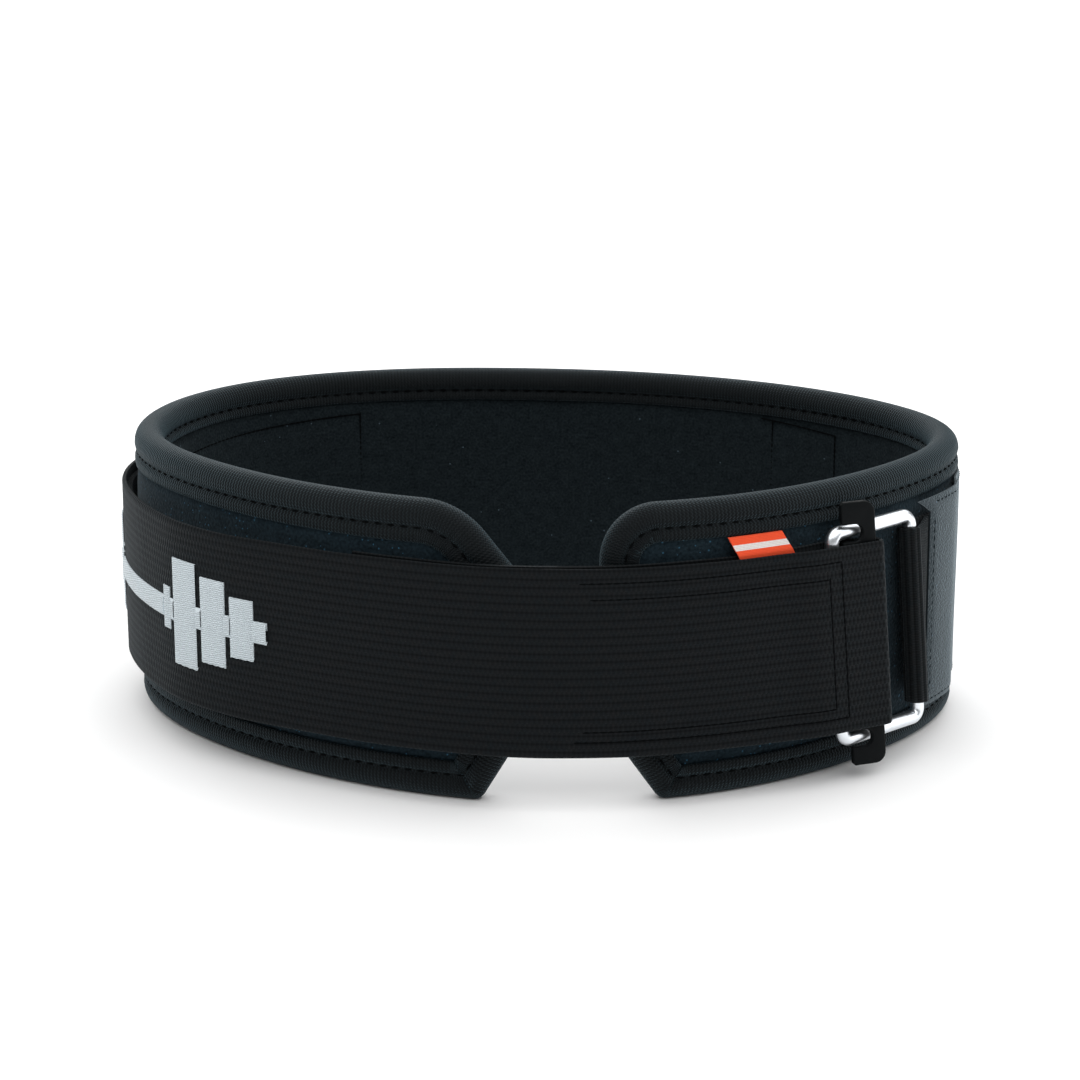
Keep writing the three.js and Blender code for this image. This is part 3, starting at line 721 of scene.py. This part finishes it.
def cut_bar(material):
    """The bar's outline as a flat curve, thickened with rounded edges and set in its place."""
    half = BAR_THICKNESS / 2
    room = WIRE_RADIUS + CLEARANCE - BAR_LIFT + half / math.cos(BAR_TILT)
    slot_depth = (room / math.tan(BAR_TILT) - half * math.sin(BAR_TILT)) / math.cos(BAR_TILT)
    slot_half = WIRE_RADIUS + 2 * CLEARANCE
    top = BAR_LENGTH / 2
    upper, lower = RAIL_HEIGHT - RING_DROP, -RAIL_HEIGHT - RING_DROP
    outline = [(0, upper - slot_half), (0, lower + slot_half)]
    for level, way in ((lower, -1), (upper, 1)):
        outline += arc(slot_depth - slot_half, level, slot_half, -math.pi / 2, math.pi / 2, math.pi / 12)[::-1]
        if way < 0:
            inset = BAR_WIDTH - BAR_CORNER
            outline += [(0, lower - slot_half), (0, -top + 0.8), (0.8, -top)]
            outline += arc(inset, BAR_CORNER - top, BAR_CORNER, -math.pi / 2, 0, math.pi / 16)
            outline += arc(inset, top - BAR_CORNER, BAR_CORNER, 0, math.pi / 2, math.pi / 16)
            outline += [(0.8, top), (0, top - 0.8), (0, upper + slot_half)]
    deselect()
    bpy.ops.mesh.primitive_circle_add(vertices=len(outline), radius=1, fill_type="NGON")
    piece = bpy.context.object
    piece.name = piece.data.name = "clamp_bar_plate"
    for vertex, (across, level) in zip(piece.data.vertices, outline):
        point = BAR_NEAR + BAR_WAY * across - BAR_OUT * half
        vertex.co = leaned(point, MIDDLE + level)
    thick = piece.modifiers.new("thickness", "SOLIDIFY")
    thick.thickness = BAR_THICKNESS * MM
    thick.offset = 1
    face = piece.data.polygons[0].normal
    edit_all(piece)
    if face.x * BAR_OUT.x + face.y * BAR_OUT.y < 0:
        bpy.ops.mesh.flip_normals()
    bpy.ops.object.mode_set(mode="OBJECT")
    bpy.ops.object.modifier_apply(modifier=thick.name)
    edge = piece.modifiers.new("edge", "BEVEL")
    edge.width = 0.55 * MM
    edge.segments = 3
    edge.limit_method = "ANGLE"
    edge.angle_limit = math.radians(50)
    bpy.ops.object.modifier_apply(modifier=edge.name)
    bpy.ops.object.shade_smooth_by_angle(angle=math.radians(40))
    finish_piece(piece, material)
    return piece


def loop_anchor(material):
    inner = PAD_FACE + CLEARANCE + ANCHOR_HALF
    outer = inner + 2 * ANCHOR_HALF + CLEARANCE
    arm = RING_OUT * (WIRE_RADIUS + CLEARANCE + ANCHOR_HALF)
    centre = ring_place(RAIL_SPAN, 0)
    sewn_down = spread(FAR_ALONG + PANEL_START, FAR_ALONG + ANCHOR_REACH, 2)
    under = [(wall_point(along, inner), 0) for along in sewn_down[::-1]]
    over = [(wall_point(along, outer), 0) for along in sewn_down]
    swings = spread(math.pi, 2 * math.pi + ANCHOR_DROP, math.pi / 14)
    around = [(centre + turned(arm, swing), 1) for swing in swings]
    low, high = MIDDLE - ANCHOR_WIDTH / 2, MIDDLE + ANCHOR_WIDTH / 2
    rows = spread(low + 0.3, high - 0.3, 4)
    section = [(0, low)] + [(ANCHOR_HALF, height) for height in rows] + [(0, high)]
    section += [(-ANCHOR_HALF, height) for height in rows[::-1]]

    def shape(travelled, distance, height):
        rib = 0.13 * math.cos(2 * math.pi * travelled / 2.1)
        return distance + (rib if distance > 0 else 0), height + 0.2 * math.sin(travelled / 3)

    band("ring_loop_webbing", even(under + around + over, 0.53), section + [section[0]], material,
         angle=70, shape=shape, ribs_across=True)


# Panel, tag and embroidery

def panel_offset(along):
    ramp = FAR_ALONG + ANCHOR_REACH + CLEARANCE
    on_loop = PAD_FACE + 2 * CLEARANCE + 4 * ANCHOR_HALF + CLEARANCE
    down = smooth(along, ramp, ramp + PANEL_RAMP)
    return on_loop + (PAD_FACE + CLEARANCE - on_loop) * down


def panel_levels():
    start = FAR_ALONG + PANEL_START
    margin = tape_width(start) + 2 * CLEARANCE
    low, high = margin, BELT_HEIGHT - margin
    levels = [(low, 1), (low + PANEL_WING_HEIGHT / 2, 0.45), (low + PANEL_WING_HEIGHT, 0)]
    levels += [(low + (high - low) * share, 0) for share in (0.15, 0.25, 0.38, 0.5, 0.62, 0.75, 0.85)]
    return levels + [(high - PANEL_WING_HEIGHT, 0), (high - PANEL_WING_HEIGHT / 2, 0.45), (high, 1)]


def cover_loop(material, thread):
    start = FAR_ALONG + PANEL_START
    levels = panel_levels()
    places, flats = [], []
    for index, along in enumerate(spread(start, start + PANEL_LENGTH, 2.5)):
        column, flat = [], []
        for thickness in (0, 1):
            rows = levels if thickness else levels[::-1]
            for row, (height, wing) in enumerate(rows):
                place = along - PANEL_WING * wing * max(0, 1 - (along - start) / PANEL_WING_REACH)
                edge = min(along - start, start + PANEL_LENGTH - along,
                           height - levels[0][0], levels[-1][0] - height)
                soft = 0.55 + 0.45 * smooth(edge, 0, 2.4) + 0.1 * math.sin(along / 9 + height / 12)
                column.append(placed(wall_point(place, panel_offset(place) + thickness * soft), height))
                flat.append((place, height))
        close_row(column, flat, places, flats)
    net("cover_panel_cloth", places, flats, material, closed_round=True, angle=50)
    seams = []
    near = start + 2.4
    seams.append([(placed(wall_point(near, panel_offset(near) + 1.0), height), out_at(near))
                  for height in spread(levels[2][0] + 2, levels[-3][0] - 2, 3)])
    for height in (levels[0][0] + 2, levels[-1][0] - 2):
        seams.append([(placed(wall_point(along, panel_offset(along) + 1.0), height), out_at(along))
                      for along in spread(start + 3, start + PANEL_LENGTH - 2, 3)])
    end = start + PANEL_LENGTH - 2
    seams.append([(placed(wall_point(end, panel_offset(end) + 0.98), height), out_at(end))
                  for height in spread(levels[0][0] + 2, levels[-1][0] - 2, 3)])
    sewn("cover_panel_stitches", seams, 2.6, 0.24, 2.9, thread)


def hang_tag(material):
    top = BELT_HEIGHT - tape_width(TAG_CENTRE) - CLEARANCE
    places, flats = [], []
    for way in spread(-TAG_WIDTH / 2, TAG_WIDTH / 2, 1):
        column, flat = [], []
        for thickness in (0, 1):
            drops = [TAG_HEIGHT * step / 10 for step in range(11)]
            for drop in (drops if thickness else drops[::-1]):
                height = top - drop
                along = TAG_CENTRE + way + TAG_SLANT * drop / TAG_HEIGHT
                lean = LEAN_RISE + (MIDDLE - height) * LEAN_OUT
                foot = STRAP_SEAT + STRAP_THICKNESS + 2 * CLEARANCE + lean_at(along) * lean
                reach = min(drop / (top - STRAP_HIGH - CLEARANCE), 1)
                offset = PAD_FACE + CLEARANCE + (foot - PAD_FACE - CLEARANCE) * reach ** 1.2
                curl = 0.25 * (abs(way) / (TAG_WIDTH / 2)) ** 3
                column.append(placed(wall_point(along, offset + thickness * 0.9 + curl), height))
                flat.append((way, drop))
        close_row(column, flat, places, flats)
    net("woven_tag", places, flats, material, closed_round=True, angle=50)


def embroider(material):
    rows = EMBLEM_SHAPE + [(1 - end, 1 - start, tall) for start, end, tall in EMBLEM_SHAPE[::-1]]
    pieces = []
    for index, (start, end, tall) in enumerate(rows):
        first, last = start * EMBLEM_LENGTH, end * EMBLEM_LENGTH
        rise = tall * EMBLEM_HEIGHT / 2
        columns = [first + 0.05, first + 0.35] + spread(first + 0.8, last - 0.8, 0.9)
        columns += [last - 0.35, last - 0.05]
        if tall < 0.3:
            columns = spread(first - 0.2, last + 0.2, 1.2)
        places, flats = [], []
        for place in columns:
            along = -EMBLEM_START - place
            edge = min(place - first, last - place) if tall >= 0.3 else 1
            column, flat = [], []
            count = max(6, round(rise * 2 / 1.1))
            for step in range(count + 1):
                share = 2 * step / count - 1
                height = MIDDLE + rise * share + (0.12 if tall > 0.3 else 0.05) * math.sin(place * 5.1 + step)
                near = min(edge, rise * (1 - abs(share)))
                swell = 0.35 + 0.65 * smooth(near, -0.3, 1.6)
                face = outer_run(along) + STRAP_HALF - 0.05 + swell
                column.append(placed(wall_point(along, face), height))
                flat.append((place, height))
            for step in range(count, -1, -2):
                share = 2 * step / count - 1
                face = outer_run(along) + STRAP_HALF - 0.12
                column.append(placed(wall_point(along, face), MIDDLE + rise * share))
                flat.append((place, MIDDLE + rise * share))
            close_row(column, flat, places, flats)
        pieces.append(net(f"emblem_part_{index:02d}", places, flats, material,
                          closed_round=True, angle=50))
    deselect()
    for piece in pieces:
        piece.select_set(True)
    bpy.context.view_layer.objects.active = pieces[0]
    bpy.ops.object.join()
    emblem = bpy.context.object
    emblem.name = emblem.data.name = "barbell_embroidery"
    return emblem


# Shader node groups

def group(name, inputs, outputs):
    tree = bpy.data.node_groups.new(name, "ShaderNodeTree")
    for label, kind, default in inputs:
        socket = tree.interface.new_socket(label, in_out="INPUT", socket_type=kind)
        if default is not None:
            socket.default_value = default
    for label, kind in outputs:
        tree.interface.new_socket(label, in_out="OUTPUT", socket_type=kind)
    return tree, tree.nodes.new("NodeGroupInput"), tree.nodes.new("NodeGroupOutput")


def maths(tree, kind, first, second=None, third=None):
    node = tree.nodes.new("ShaderNodeMath")
    node.operation = kind
    for socket, value in zip(node.inputs, (first, second, third)):
        if value is None:
            continue
        if isinstance(value, (int, float)):
            socket.default_value = value
        else:
            tree.links.new(value, socket)
    return node.outputs[0]


def split(tree, vector):
    node = tree.nodes.new("ShaderNodeSeparateXYZ")
    tree.links.new(vector, node.inputs[0])
    return node.outputs[0], node.outputs[1]


def phase(tree, length, pitch):
    return maths(tree, "MULTIPLY", maths(tree, "DIVIDE", length, pitch), 2 * math.pi)


def ripple(tree, kind, angle):
    """A wave between 0 and 1."""
    return maths(tree, "MULTIPLY_ADD", maths(tree, kind, angle), 0.5, 0.5)


def make_ribs():
    """Ribs along the cloth and finer threads across it: a height and a mask of the gaps."""
    tree, given, result = group("woven ribs", [
        ("Pattern", "NodeSocketVector", None), ("Rib pitch", "NodeSocketFloat", 0.0028),
        ("Thread pitch", "NodeSocketFloat", 0.0011)], [
        ("Height", "NodeSocketFloat"), ("Gaps", "NodeSocketFloat")])
    along, up = split(tree, given.outputs["Pattern"])
    rib = phase(tree, up, given.outputs["Rib pitch"])
    thread = phase(tree, along, given.outputs["Thread pitch"])
    row = maths(tree, "SIGN", maths(tree, "SINE", maths(tree, "MULTIPLY", rib, 0.5)))
    crest = ripple(tree, "COSINE", rib)
    twill = ripple(tree, "COSINE", maths(tree, "ADD", thread, maths(tree, "MULTIPLY", row, 1.5)))
    height = maths(tree, "ADD", maths(tree, "MULTIPLY", crest, 0.55), maths(tree, "MULTIPLY", twill, 0.45))
    tree.links.new(height, result.inputs["Height"])
    gaps = maths(tree, "POWER", maths(tree, "SUBTRACT", 1, crest), 5)
    tree.links.new(maths(tree, "ADD", gaps, maths(tree, "MULTIPLY", maths(tree, "SUBTRACT", 1, twill), 0.6)),
                   result.inputs["Gaps"])
    return tree


def make_herringbone():
    """Chevron weave of the binding tape: a height and a mask of the gaps."""
    tree, given, result = group("herringbone", [
        ("Pattern", "NodeSocketVector", None), ("Pitch", "NodeSocketFloat", 0.0011),
        ("Row", "NodeSocketFloat", 0.0016)], [("Height", "NodeSocketFloat"), ("Gaps", "NodeSocketFloat")])
    along, up = split(tree, given.outputs["Pattern"])
    zigzag = maths(tree, "PINGPONG", up, given.outputs["Row"])
    slanted = maths(tree, "ADD", along, maths(tree, "MULTIPLY", zigzag, 0.8))
    wave = ripple(tree, "SINE", phase(tree, slanted, given.outputs["Pitch"]))
    tree.links.new(wave, result.inputs["Height"])
    tree.links.new(maths(tree, "POWER", maths(tree, "SUBTRACT", 1, wave), 2), result.inputs["Gaps"])
    return tree


def make_nap():
    """Brushed nap: clumped fibres with a fine grain, and rare bright specks."""
    tree, given, result = group("brushed nap", [
        ("Pattern", "NodeSocketVector", None), ("Grain", "NodeSocketFloat", 1400.0),
        ("Specks", "NodeSocketFloat", 0.5)], [
        ("Height", "NodeSocketFloat"), ("Mottle", "NodeSocketFloat"), ("Specks", "NodeSocketFloat")])
    coarse = tree.nodes.new("ShaderNodeTexNoise")
    coarse.inputs["Detail"].default_value = 4
    fine = tree.nodes.new("ShaderNodeTexNoise")
    fine.inputs["Detail"].default_value = 2
    tree.links.new(given.outputs["Pattern"], coarse.inputs["Vector"])
    tree.links.new(given.outputs["Pattern"], fine.inputs["Vector"])
    tree.links.new(maths(tree, "MULTIPLY", given.outputs["Grain"], 0.22), coarse.inputs["Scale"])
    tree.links.new(given.outputs["Grain"], fine.inputs["Scale"])
    height = maths(tree, "ADD", maths(tree, "MULTIPLY", coarse.outputs[0], 0.3),
                   maths(tree, "MULTIPLY", fine.outputs[0], 0.7))
    tree.links.new(height, result.inputs["Height"])
    tree.links.new(maths(tree, "MULTIPLY_ADD", height, 2.2, -0.6), result.inputs["Mottle"])
    dots = tree.nodes.new("ShaderNodeTexVoronoi")
    tree.links.new(given.outputs["Pattern"], dots.inputs["Vector"])
    dots.inputs["Scale"].default_value = 560
    near = maths(tree, "LESS_THAN", dots.outputs["Distance"], 0.17)
    pick = tree.nodes.new("ShaderNodeSeparateColor")
    tree.links.new(dots.outputs["Color"], pick.inputs[0])
    chosen = maths(tree, "GREATER_THAN", pick.outputs[0], maths(tree, "SUBTRACT", 1, given.outputs["Specks"]))
    tree.links.new(maths(tree, "MULTIPLY", near, chosen), result.inputs["Specks"])
    return tree


RIBS = make_ribs()
HERRINGBONE = make_herringbone()
NAP = make_nap()


def material(name, roughness, metallic=0.0, specular=0.2, sheen=0.0, sheen_tint=(1, 1, 1, 1)):
    made = bpy.data.materials.new(name)
    made.use_nodes = True
    tree = made.node_tree
    shader = tree.nodes["Principled BSDF"]
    shader.inputs["Roughness"].default_value = roughness
    shader.inputs["Metallic"].default_value = metallic
    shader.inputs["Specular IOR Level"].default_value = specular
    shader.inputs["Sheen Weight"].default_value = sheen
    shader.inputs["Sheen Roughness"].default_value = 0.45
    shader.inputs["Sheen Tint"].default_value = sheen_tint
    return made, tree, shader


def pattern(tree, effect, values, source="UV"):
    place = tree.nodes.new("ShaderNodeTexCoord")
    node = tree.nodes.new("ShaderNodeGroup")
    node.node_tree = effect
    tree.links.new(place.outputs[source], node.inputs["Pattern"])
    for label, value in values.items():
        node.inputs[label].default_value = value
    return node


def colour_mix(tree, share, first, second, kind="MIX"):
    node = tree.nodes.new("ShaderNodeMix")
    node.data_type = "RGBA"
    node.blend_type = kind
    factor, one, two = node.inputs[0], node.inputs[6], node.inputs[7]
    for socket, value in ((factor, share), (one, first), (two, second)):
        if isinstance(value, (int, float)):
            socket.default_value = value
        elif isinstance(value, tuple):
            socket.default_value = (*value, 1)
        else:
            tree.links.new(value, socket)
    return node.outputs[2]


def bump(tree, shader, height, distance, strength=1.0):
    node = tree.nodes.new("ShaderNodeBump")
    node.inputs["Strength"].default_value = strength
    node.inputs["Distance"].default_value = distance
    tree.links.new(height, node.inputs["Height"])
    tree.links.new(node.outputs[0], shader.inputs["Normal"])


def webbing(name, light, dark, rib_pitch, thread_pitch):
    made, tree, shader = material(name, 0.72, specular=0.05, sheen=0.07, sheen_tint=(0.8, 0.93, 1, 1))
    ribs = pattern(tree, RIBS, {"Rib pitch": rib_pitch, "Thread pitch": thread_pitch})
    nap = pattern(tree, NAP, {"Grain": 900.0, "Specks": 0.0})
    yarns = pattern(tree, NAP, {"Grain": 420.0, "Specks": 0.0})
    warm = tuple(channel * share for channel, share in zip(light, (1.4, 1.18, 1.08)))
    cool = tuple(channel * share for channel, share in zip(light, (0.6, 0.92, 1.08)))
    dyed = colour_mix(tree, yarns.outputs["Mottle"], cool, warm)
    worn = colour_mix(tree, maths(tree, "MULTIPLY", nap.outputs["Mottle"], 0.6), dyed,
                      tuple(channel * 1.5 for channel in light))
    # Painted shade: the gaps between the ribs are darkened towards the dark colour, as shade falls in the
    # weave's recesses
    shaded = colour_mix(tree, maths(tree, "MULTIPLY", ribs.outputs["Gaps"], 0.75), worn, dark)
    tree.links.new(shaded, shader.inputs["Base Color"])
    relief = maths(tree, "ADD", ribs.outputs["Height"], maths(tree, "MULTIPLY", nap.outputs["Height"], 0.7))
    bump(tree, shader, relief, 0.0003, 0.8)
    return made


def brushed(name, base, light, grain, specks, speck_colour, sheen):
    made, tree, shader = material(name, 0.95, specular=0.04, sheen=sheen, sheen_tint=(0.8, 0.93, 1, 1))
    nap = pattern(tree, NAP, {"Grain": grain, "Specks": specks})
    cloth = colour_mix(tree, nap.outputs["Mottle"], base, light)
    flecked = colour_mix(tree, nap.outputs["Specks"], cloth, speck_colour)
    tree.links.new(flecked, shader.inputs["Base Color"])
    bump(tree, shader, nap.outputs["Height"], 0.0006, 0.9)
    return made


def taped(name):
    made, tree, shader = material(name, 0.58, specular=0.06, sheen=0.15, sheen_tint=(0.55, 0.85, 1, 1))
    weave = pattern(tree, HERRINGBONE, {"Pitch": 0.0013, "Row": 0.0006})
    nap = pattern(tree, NAP, {"Grain": 700.0, "Specks": 0.002})
    cloth = colour_mix(tree, maths(tree, "MULTIPLY", nap.outputs["Mottle"], 0.5), (0.0052, 0.0064, 0.007),
                       (0.0112, 0.013, 0.0138))
    # Painted shade: the gaps of the herringbone are darkened to near black, as shade falls between the threads
    shade = maths(tree, "MULTIPLY", weave.outputs["Gaps"], 0.7)
    gaps = colour_mix(tree, shade, cloth, (0.0018, 0.0022, 0.0026))
    tree.links.new(gaps, shader.inputs["Base Color"])
    relief = maths(tree, "ADD", weave.outputs["Height"], maths(tree, "MULTIPLY", nap.outputs["Height"], 0.5))
    bump(tree, shader, relief, 0.0003, 0.8)
    return made


def thread(name, colour, roughness=0.9):
    made, tree, shader = material(name, roughness, specular=0.02)
    nap = pattern(tree, NAP, {"Grain": 2600.0, "Specks": 0.0}, "Object")
    tone = colour_mix(tree, nap.outputs["Mottle"], tuple(channel * 0.7 for channel in colour), colour)
    tree.links.new(tone, shader.inputs["Base Color"])
    bump(tree, shader, nap.outputs["Height"], 0.0002, 0.5)
    return made


def metal(name, colour, roughness, metallic, scratch):
    made, tree, shader = material(name, roughness, metallic=metallic, specular=0.5 if metallic else 0.05)
    nap = pattern(tree, NAP, {"Grain": 520.0, "Specks": 0.0}, "Object")
    tone = colour_mix(tree, maths(tree, "MULTIPLY", nap.outputs["Mottle"], 0.35), colour,
                      tuple(channel * 0.82 for channel in colour))
    tree.links.new(tone, shader.inputs["Base Color"])
    rough = maths(tree, "MULTIPLY_ADD", nap.outputs["Height"], 0.12, roughness - 0.05)
    tree.links.new(rough, shader.inputs["Roughness"])
    bump(tree, shader, nap.outputs["Height"], scratch, 0.25)
    return made


def tag_cloth():
    made, tree, shader = material("orange tag weave", 0.7, specular=0.25, sheen=0.1)
    weave = pattern(tree, RIBS, {"Rib pitch": 0.00045, "Thread pitch": 0.0005})
    place = tree.nodes.new("ShaderNodeTexCoord")
    _, drop = split(tree, place.outputs["UV"])
    off = maths(tree, "ABSOLUTE", maths(tree, "SUBTRACT", drop, 0.0033))
    stripe = maths(tree, "LESS_THAN", off, 0.0009)
    cloth = colour_mix(tree, stripe, (0.84, 0.078, 0.018), (0.72, 0.76, 0.74))
    # Painted shade: the gaps of the tag's weave are darkened to a deep red
    shaded = colour_mix(tree, maths(tree, "MULTIPLY", weave.outputs["Gaps"], 0.35), cloth, (0.45, 0.03, 0.01))
    tree.links.new(shaded, shader.inputs["Base Color"])
    bump(tree, shader, weave.outputs["Height"], 0.0001, 0.6)
    return made


def embroidery_thread():
    made, tree, shader = material("white embroidery thread", 0.6, specular=0.3, sheen=0.15)
    place = tree.nodes.new("ShaderNodeTexCoord")
    along, up = split(tree, place.outputs["UV"])
    wobble = tree.nodes.new("ShaderNodeTexNoise")
    wobble.inputs["Scale"].default_value = 900
    tree.links.new(place.outputs["UV"], wobble.inputs["Vector"])
    bent = maths(tree, "ADD", maths(tree, "ADD", up, maths(tree, "MULTIPLY", along, 0.35)),
                 maths(tree, "MULTIPLY", wobble.outputs[0], 0.0006))
    wave = ripple(tree, "SINE", phase(tree, bent, 0.0007))
    # Painted shade: the white thread is darkened to grey in the grooves between the satin stitches, following
    # the same wave as the bump
    tone = colour_mix(tree, wave, (0.42, 0.48, 0.515), (0.72, 0.8, 0.84))
    tree.links.new(tone, shader.inputs["Base Color"])
    bump(tree, shader, wave, 0.0003, 0.8)
    return made


BINDING = taped("black binding tape")
LOOP_CLOTH = brushed("navy loop fabric", (0.0022, 0.0052, 0.0076), (0.018, 0.0315, 0.041), 900.0, 0.5,
                     (0.03, 0.09, 0.145), 0.15)
LINING = brushed("blue-black lining", (0.0015, 0.0034, 0.0048), (0.0168, 0.0235, 0.0268), 1100.0, 0.02,
                 (0.06, 0.085, 0.105), 0.06)
PANEL_CLOTH = brushed("panel fabric", (0.0048, 0.0082, 0.011), (0.0165, 0.0245, 0.0295), 1300.0, 0.09,
                      (0.075, 0.115, 0.16), 0.52)
# The second colour of each webbing is painted shade, laid into the gaps between its ribs
STRAP_CLOTH = webbing("warm black webbing", (0.0076, 0.0086, 0.0094), (0.0034, 0.004, 0.0046), 0.0028, 0.0016)
LOOP_WEBBING = webbing("black loop webbing", (0.0095, 0.0108, 0.0115), (0.0025, 0.003, 0.0034), 0.0021, 0.0009)
HOOKS = brushed("hook layer", (0.0015, 0.0017, 0.002), (0.005, 0.0055, 0.006), 2200.0, 0.0,
                (0.1, 0.1, 0.1), 0.1)
DARK_THREAD = thread("black thread", (0.0032, 0.0038, 0.0042))
PANEL_THREAD = thread("panel thread", (0.009, 0.0135, 0.0165))
CHROME = metal("bright plated wire", (0.84, 0.88, 0.92), 0.3, 1.0, 0.00003)
BLACK_METAL = metal("satin black bar", (0.005, 0.006, 0.0066), 0.42, 0.0, 0.00004)
TAG = tag_cloth()
EMBROIDERY = embroidery_thread()


# The belt

bind_edge(BINDING)
sew_binding(DARK_THREAD)
lay_wall("loop_fabric_wall", WALL_HALF - PAD_THICKNESS, WALL_HALF, PAD_BULGE, tape_width, [], LOOP_CLOTH)
lay_wall("brushed_lining", LINING_THICKNESS - WALL_HALF, -WALL_HALF, PAD_BULGE, lambda along: INNER_TAPE_WIDTH,
         LINING_SEAMS, LINING)
sew_lining(DARK_THREAD)
weave_strap(STRAP_CLOTH)
sew_strap(DARK_THREAD)
lay_hooks(HOOKS)
bend_ring(CHROME)
cut_bar(BLACK_METAL)
loop_anchor(LOOP_WEBBING)
cover_loop(PANEL_CLOTH, PANEL_THREAD)
hang_tag(TAG)
embroider(EMBROIDERY)

STANDS_FOR = {
    "edge_binding_tape": "edge_binding", "loop_fabric_wall": "padded_body", "brushed_lining": "inner_lining",
    "closing_strap_webbing": "closing_strap", "hook_layer": "hook_patch", "buckle_wire": "buckle_ring",
    "clamp_bar_plate": "clamp_bar", "ring_loop_webbing": "anchor_loop", "cover_panel_cloth": "cover_panel",
    "woven_tag": "side_label", "barbell_embroidery": "strap_emblem",
}
for piece_name, node in STANDS_FOR.items():
    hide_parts(node)

panel_low, panel_high = panel_levels()[0][0], panel_levels()[-1][0]


# Floor, light and camera

deselect()
bpy.ops.mesh.primitive_plane_add(size=8, location=(0, 0, 0))
floor = bpy.context.object
floor.name = "pale_floor"
paper, _, paper_shader = material("white paper", 0.9, specular=0.0)
paper_shader.inputs["Base Color"].default_value = (0.93, 0.93, 0.93, 1)
floor.data.materials.append(paper)

world = bpy.data.worlds.new("soft studio")
bpy.context.scene.world = world
world.use_nodes = True
world.node_tree.nodes["Background"].inputs[0].default_value = (1, 1, 1, 1)
world.node_tree.nodes["Background"].inputs[1].default_value = 0.25


def softbox(name, location, target, size, power):
    light = bpy.data.lights.new(name, "AREA")
    light.shape = "RECTANGLE"
    light.size, light.size_y = size
    light.energy = power
    lamp = bpy.data.objects.new(name, light)
    bpy.context.collection.objects.link(lamp)
    lamp.location = location
    lamp.rotation_euler = (Vector(target) - Vector(location)).to_track_quat("-Z", "Y").to_euler()


softbox("ceiling_light", (0, 1.2, 2.5), (0, 1.2, 0), (8, 9), 340)
softbox("back_softbox", (-0.6, 2.6, 1.1), (0, 0, 0.05), (2.2, 1.2), 22)
softbox("right_softbox", (1.7, 0.1, 0.45), (0.1, -0.05, 0.05), (0.9, 0.9), 5)

CAMERA_PLACE = (0.00129, -1.02128, 0.34304)
CAMERA_PITCH = 0.2688
CAMERA_ROLL = -0.0015
CAMERA_LENS = 97.75

camera_data = bpy.data.cameras.new("photo_camera")
camera_data.lens = CAMERA_LENS
camera_data.sensor_width = 36
camera = bpy.data.objects.new("photo_camera", camera_data)
bpy.context.collection.objects.link(camera)
aim = Matrix.Rotation(math.pi / 2 - CAMERA_PITCH, 4, "X") @ Matrix.Rotation(CAMERA_ROLL, 4, "Z")
camera.matrix_world = Matrix.Translation(CAMERA_PLACE) @ aim
bpy.context.scene.camera = camera
bpy.context.scene.view_settings.view_transform = "Standard"
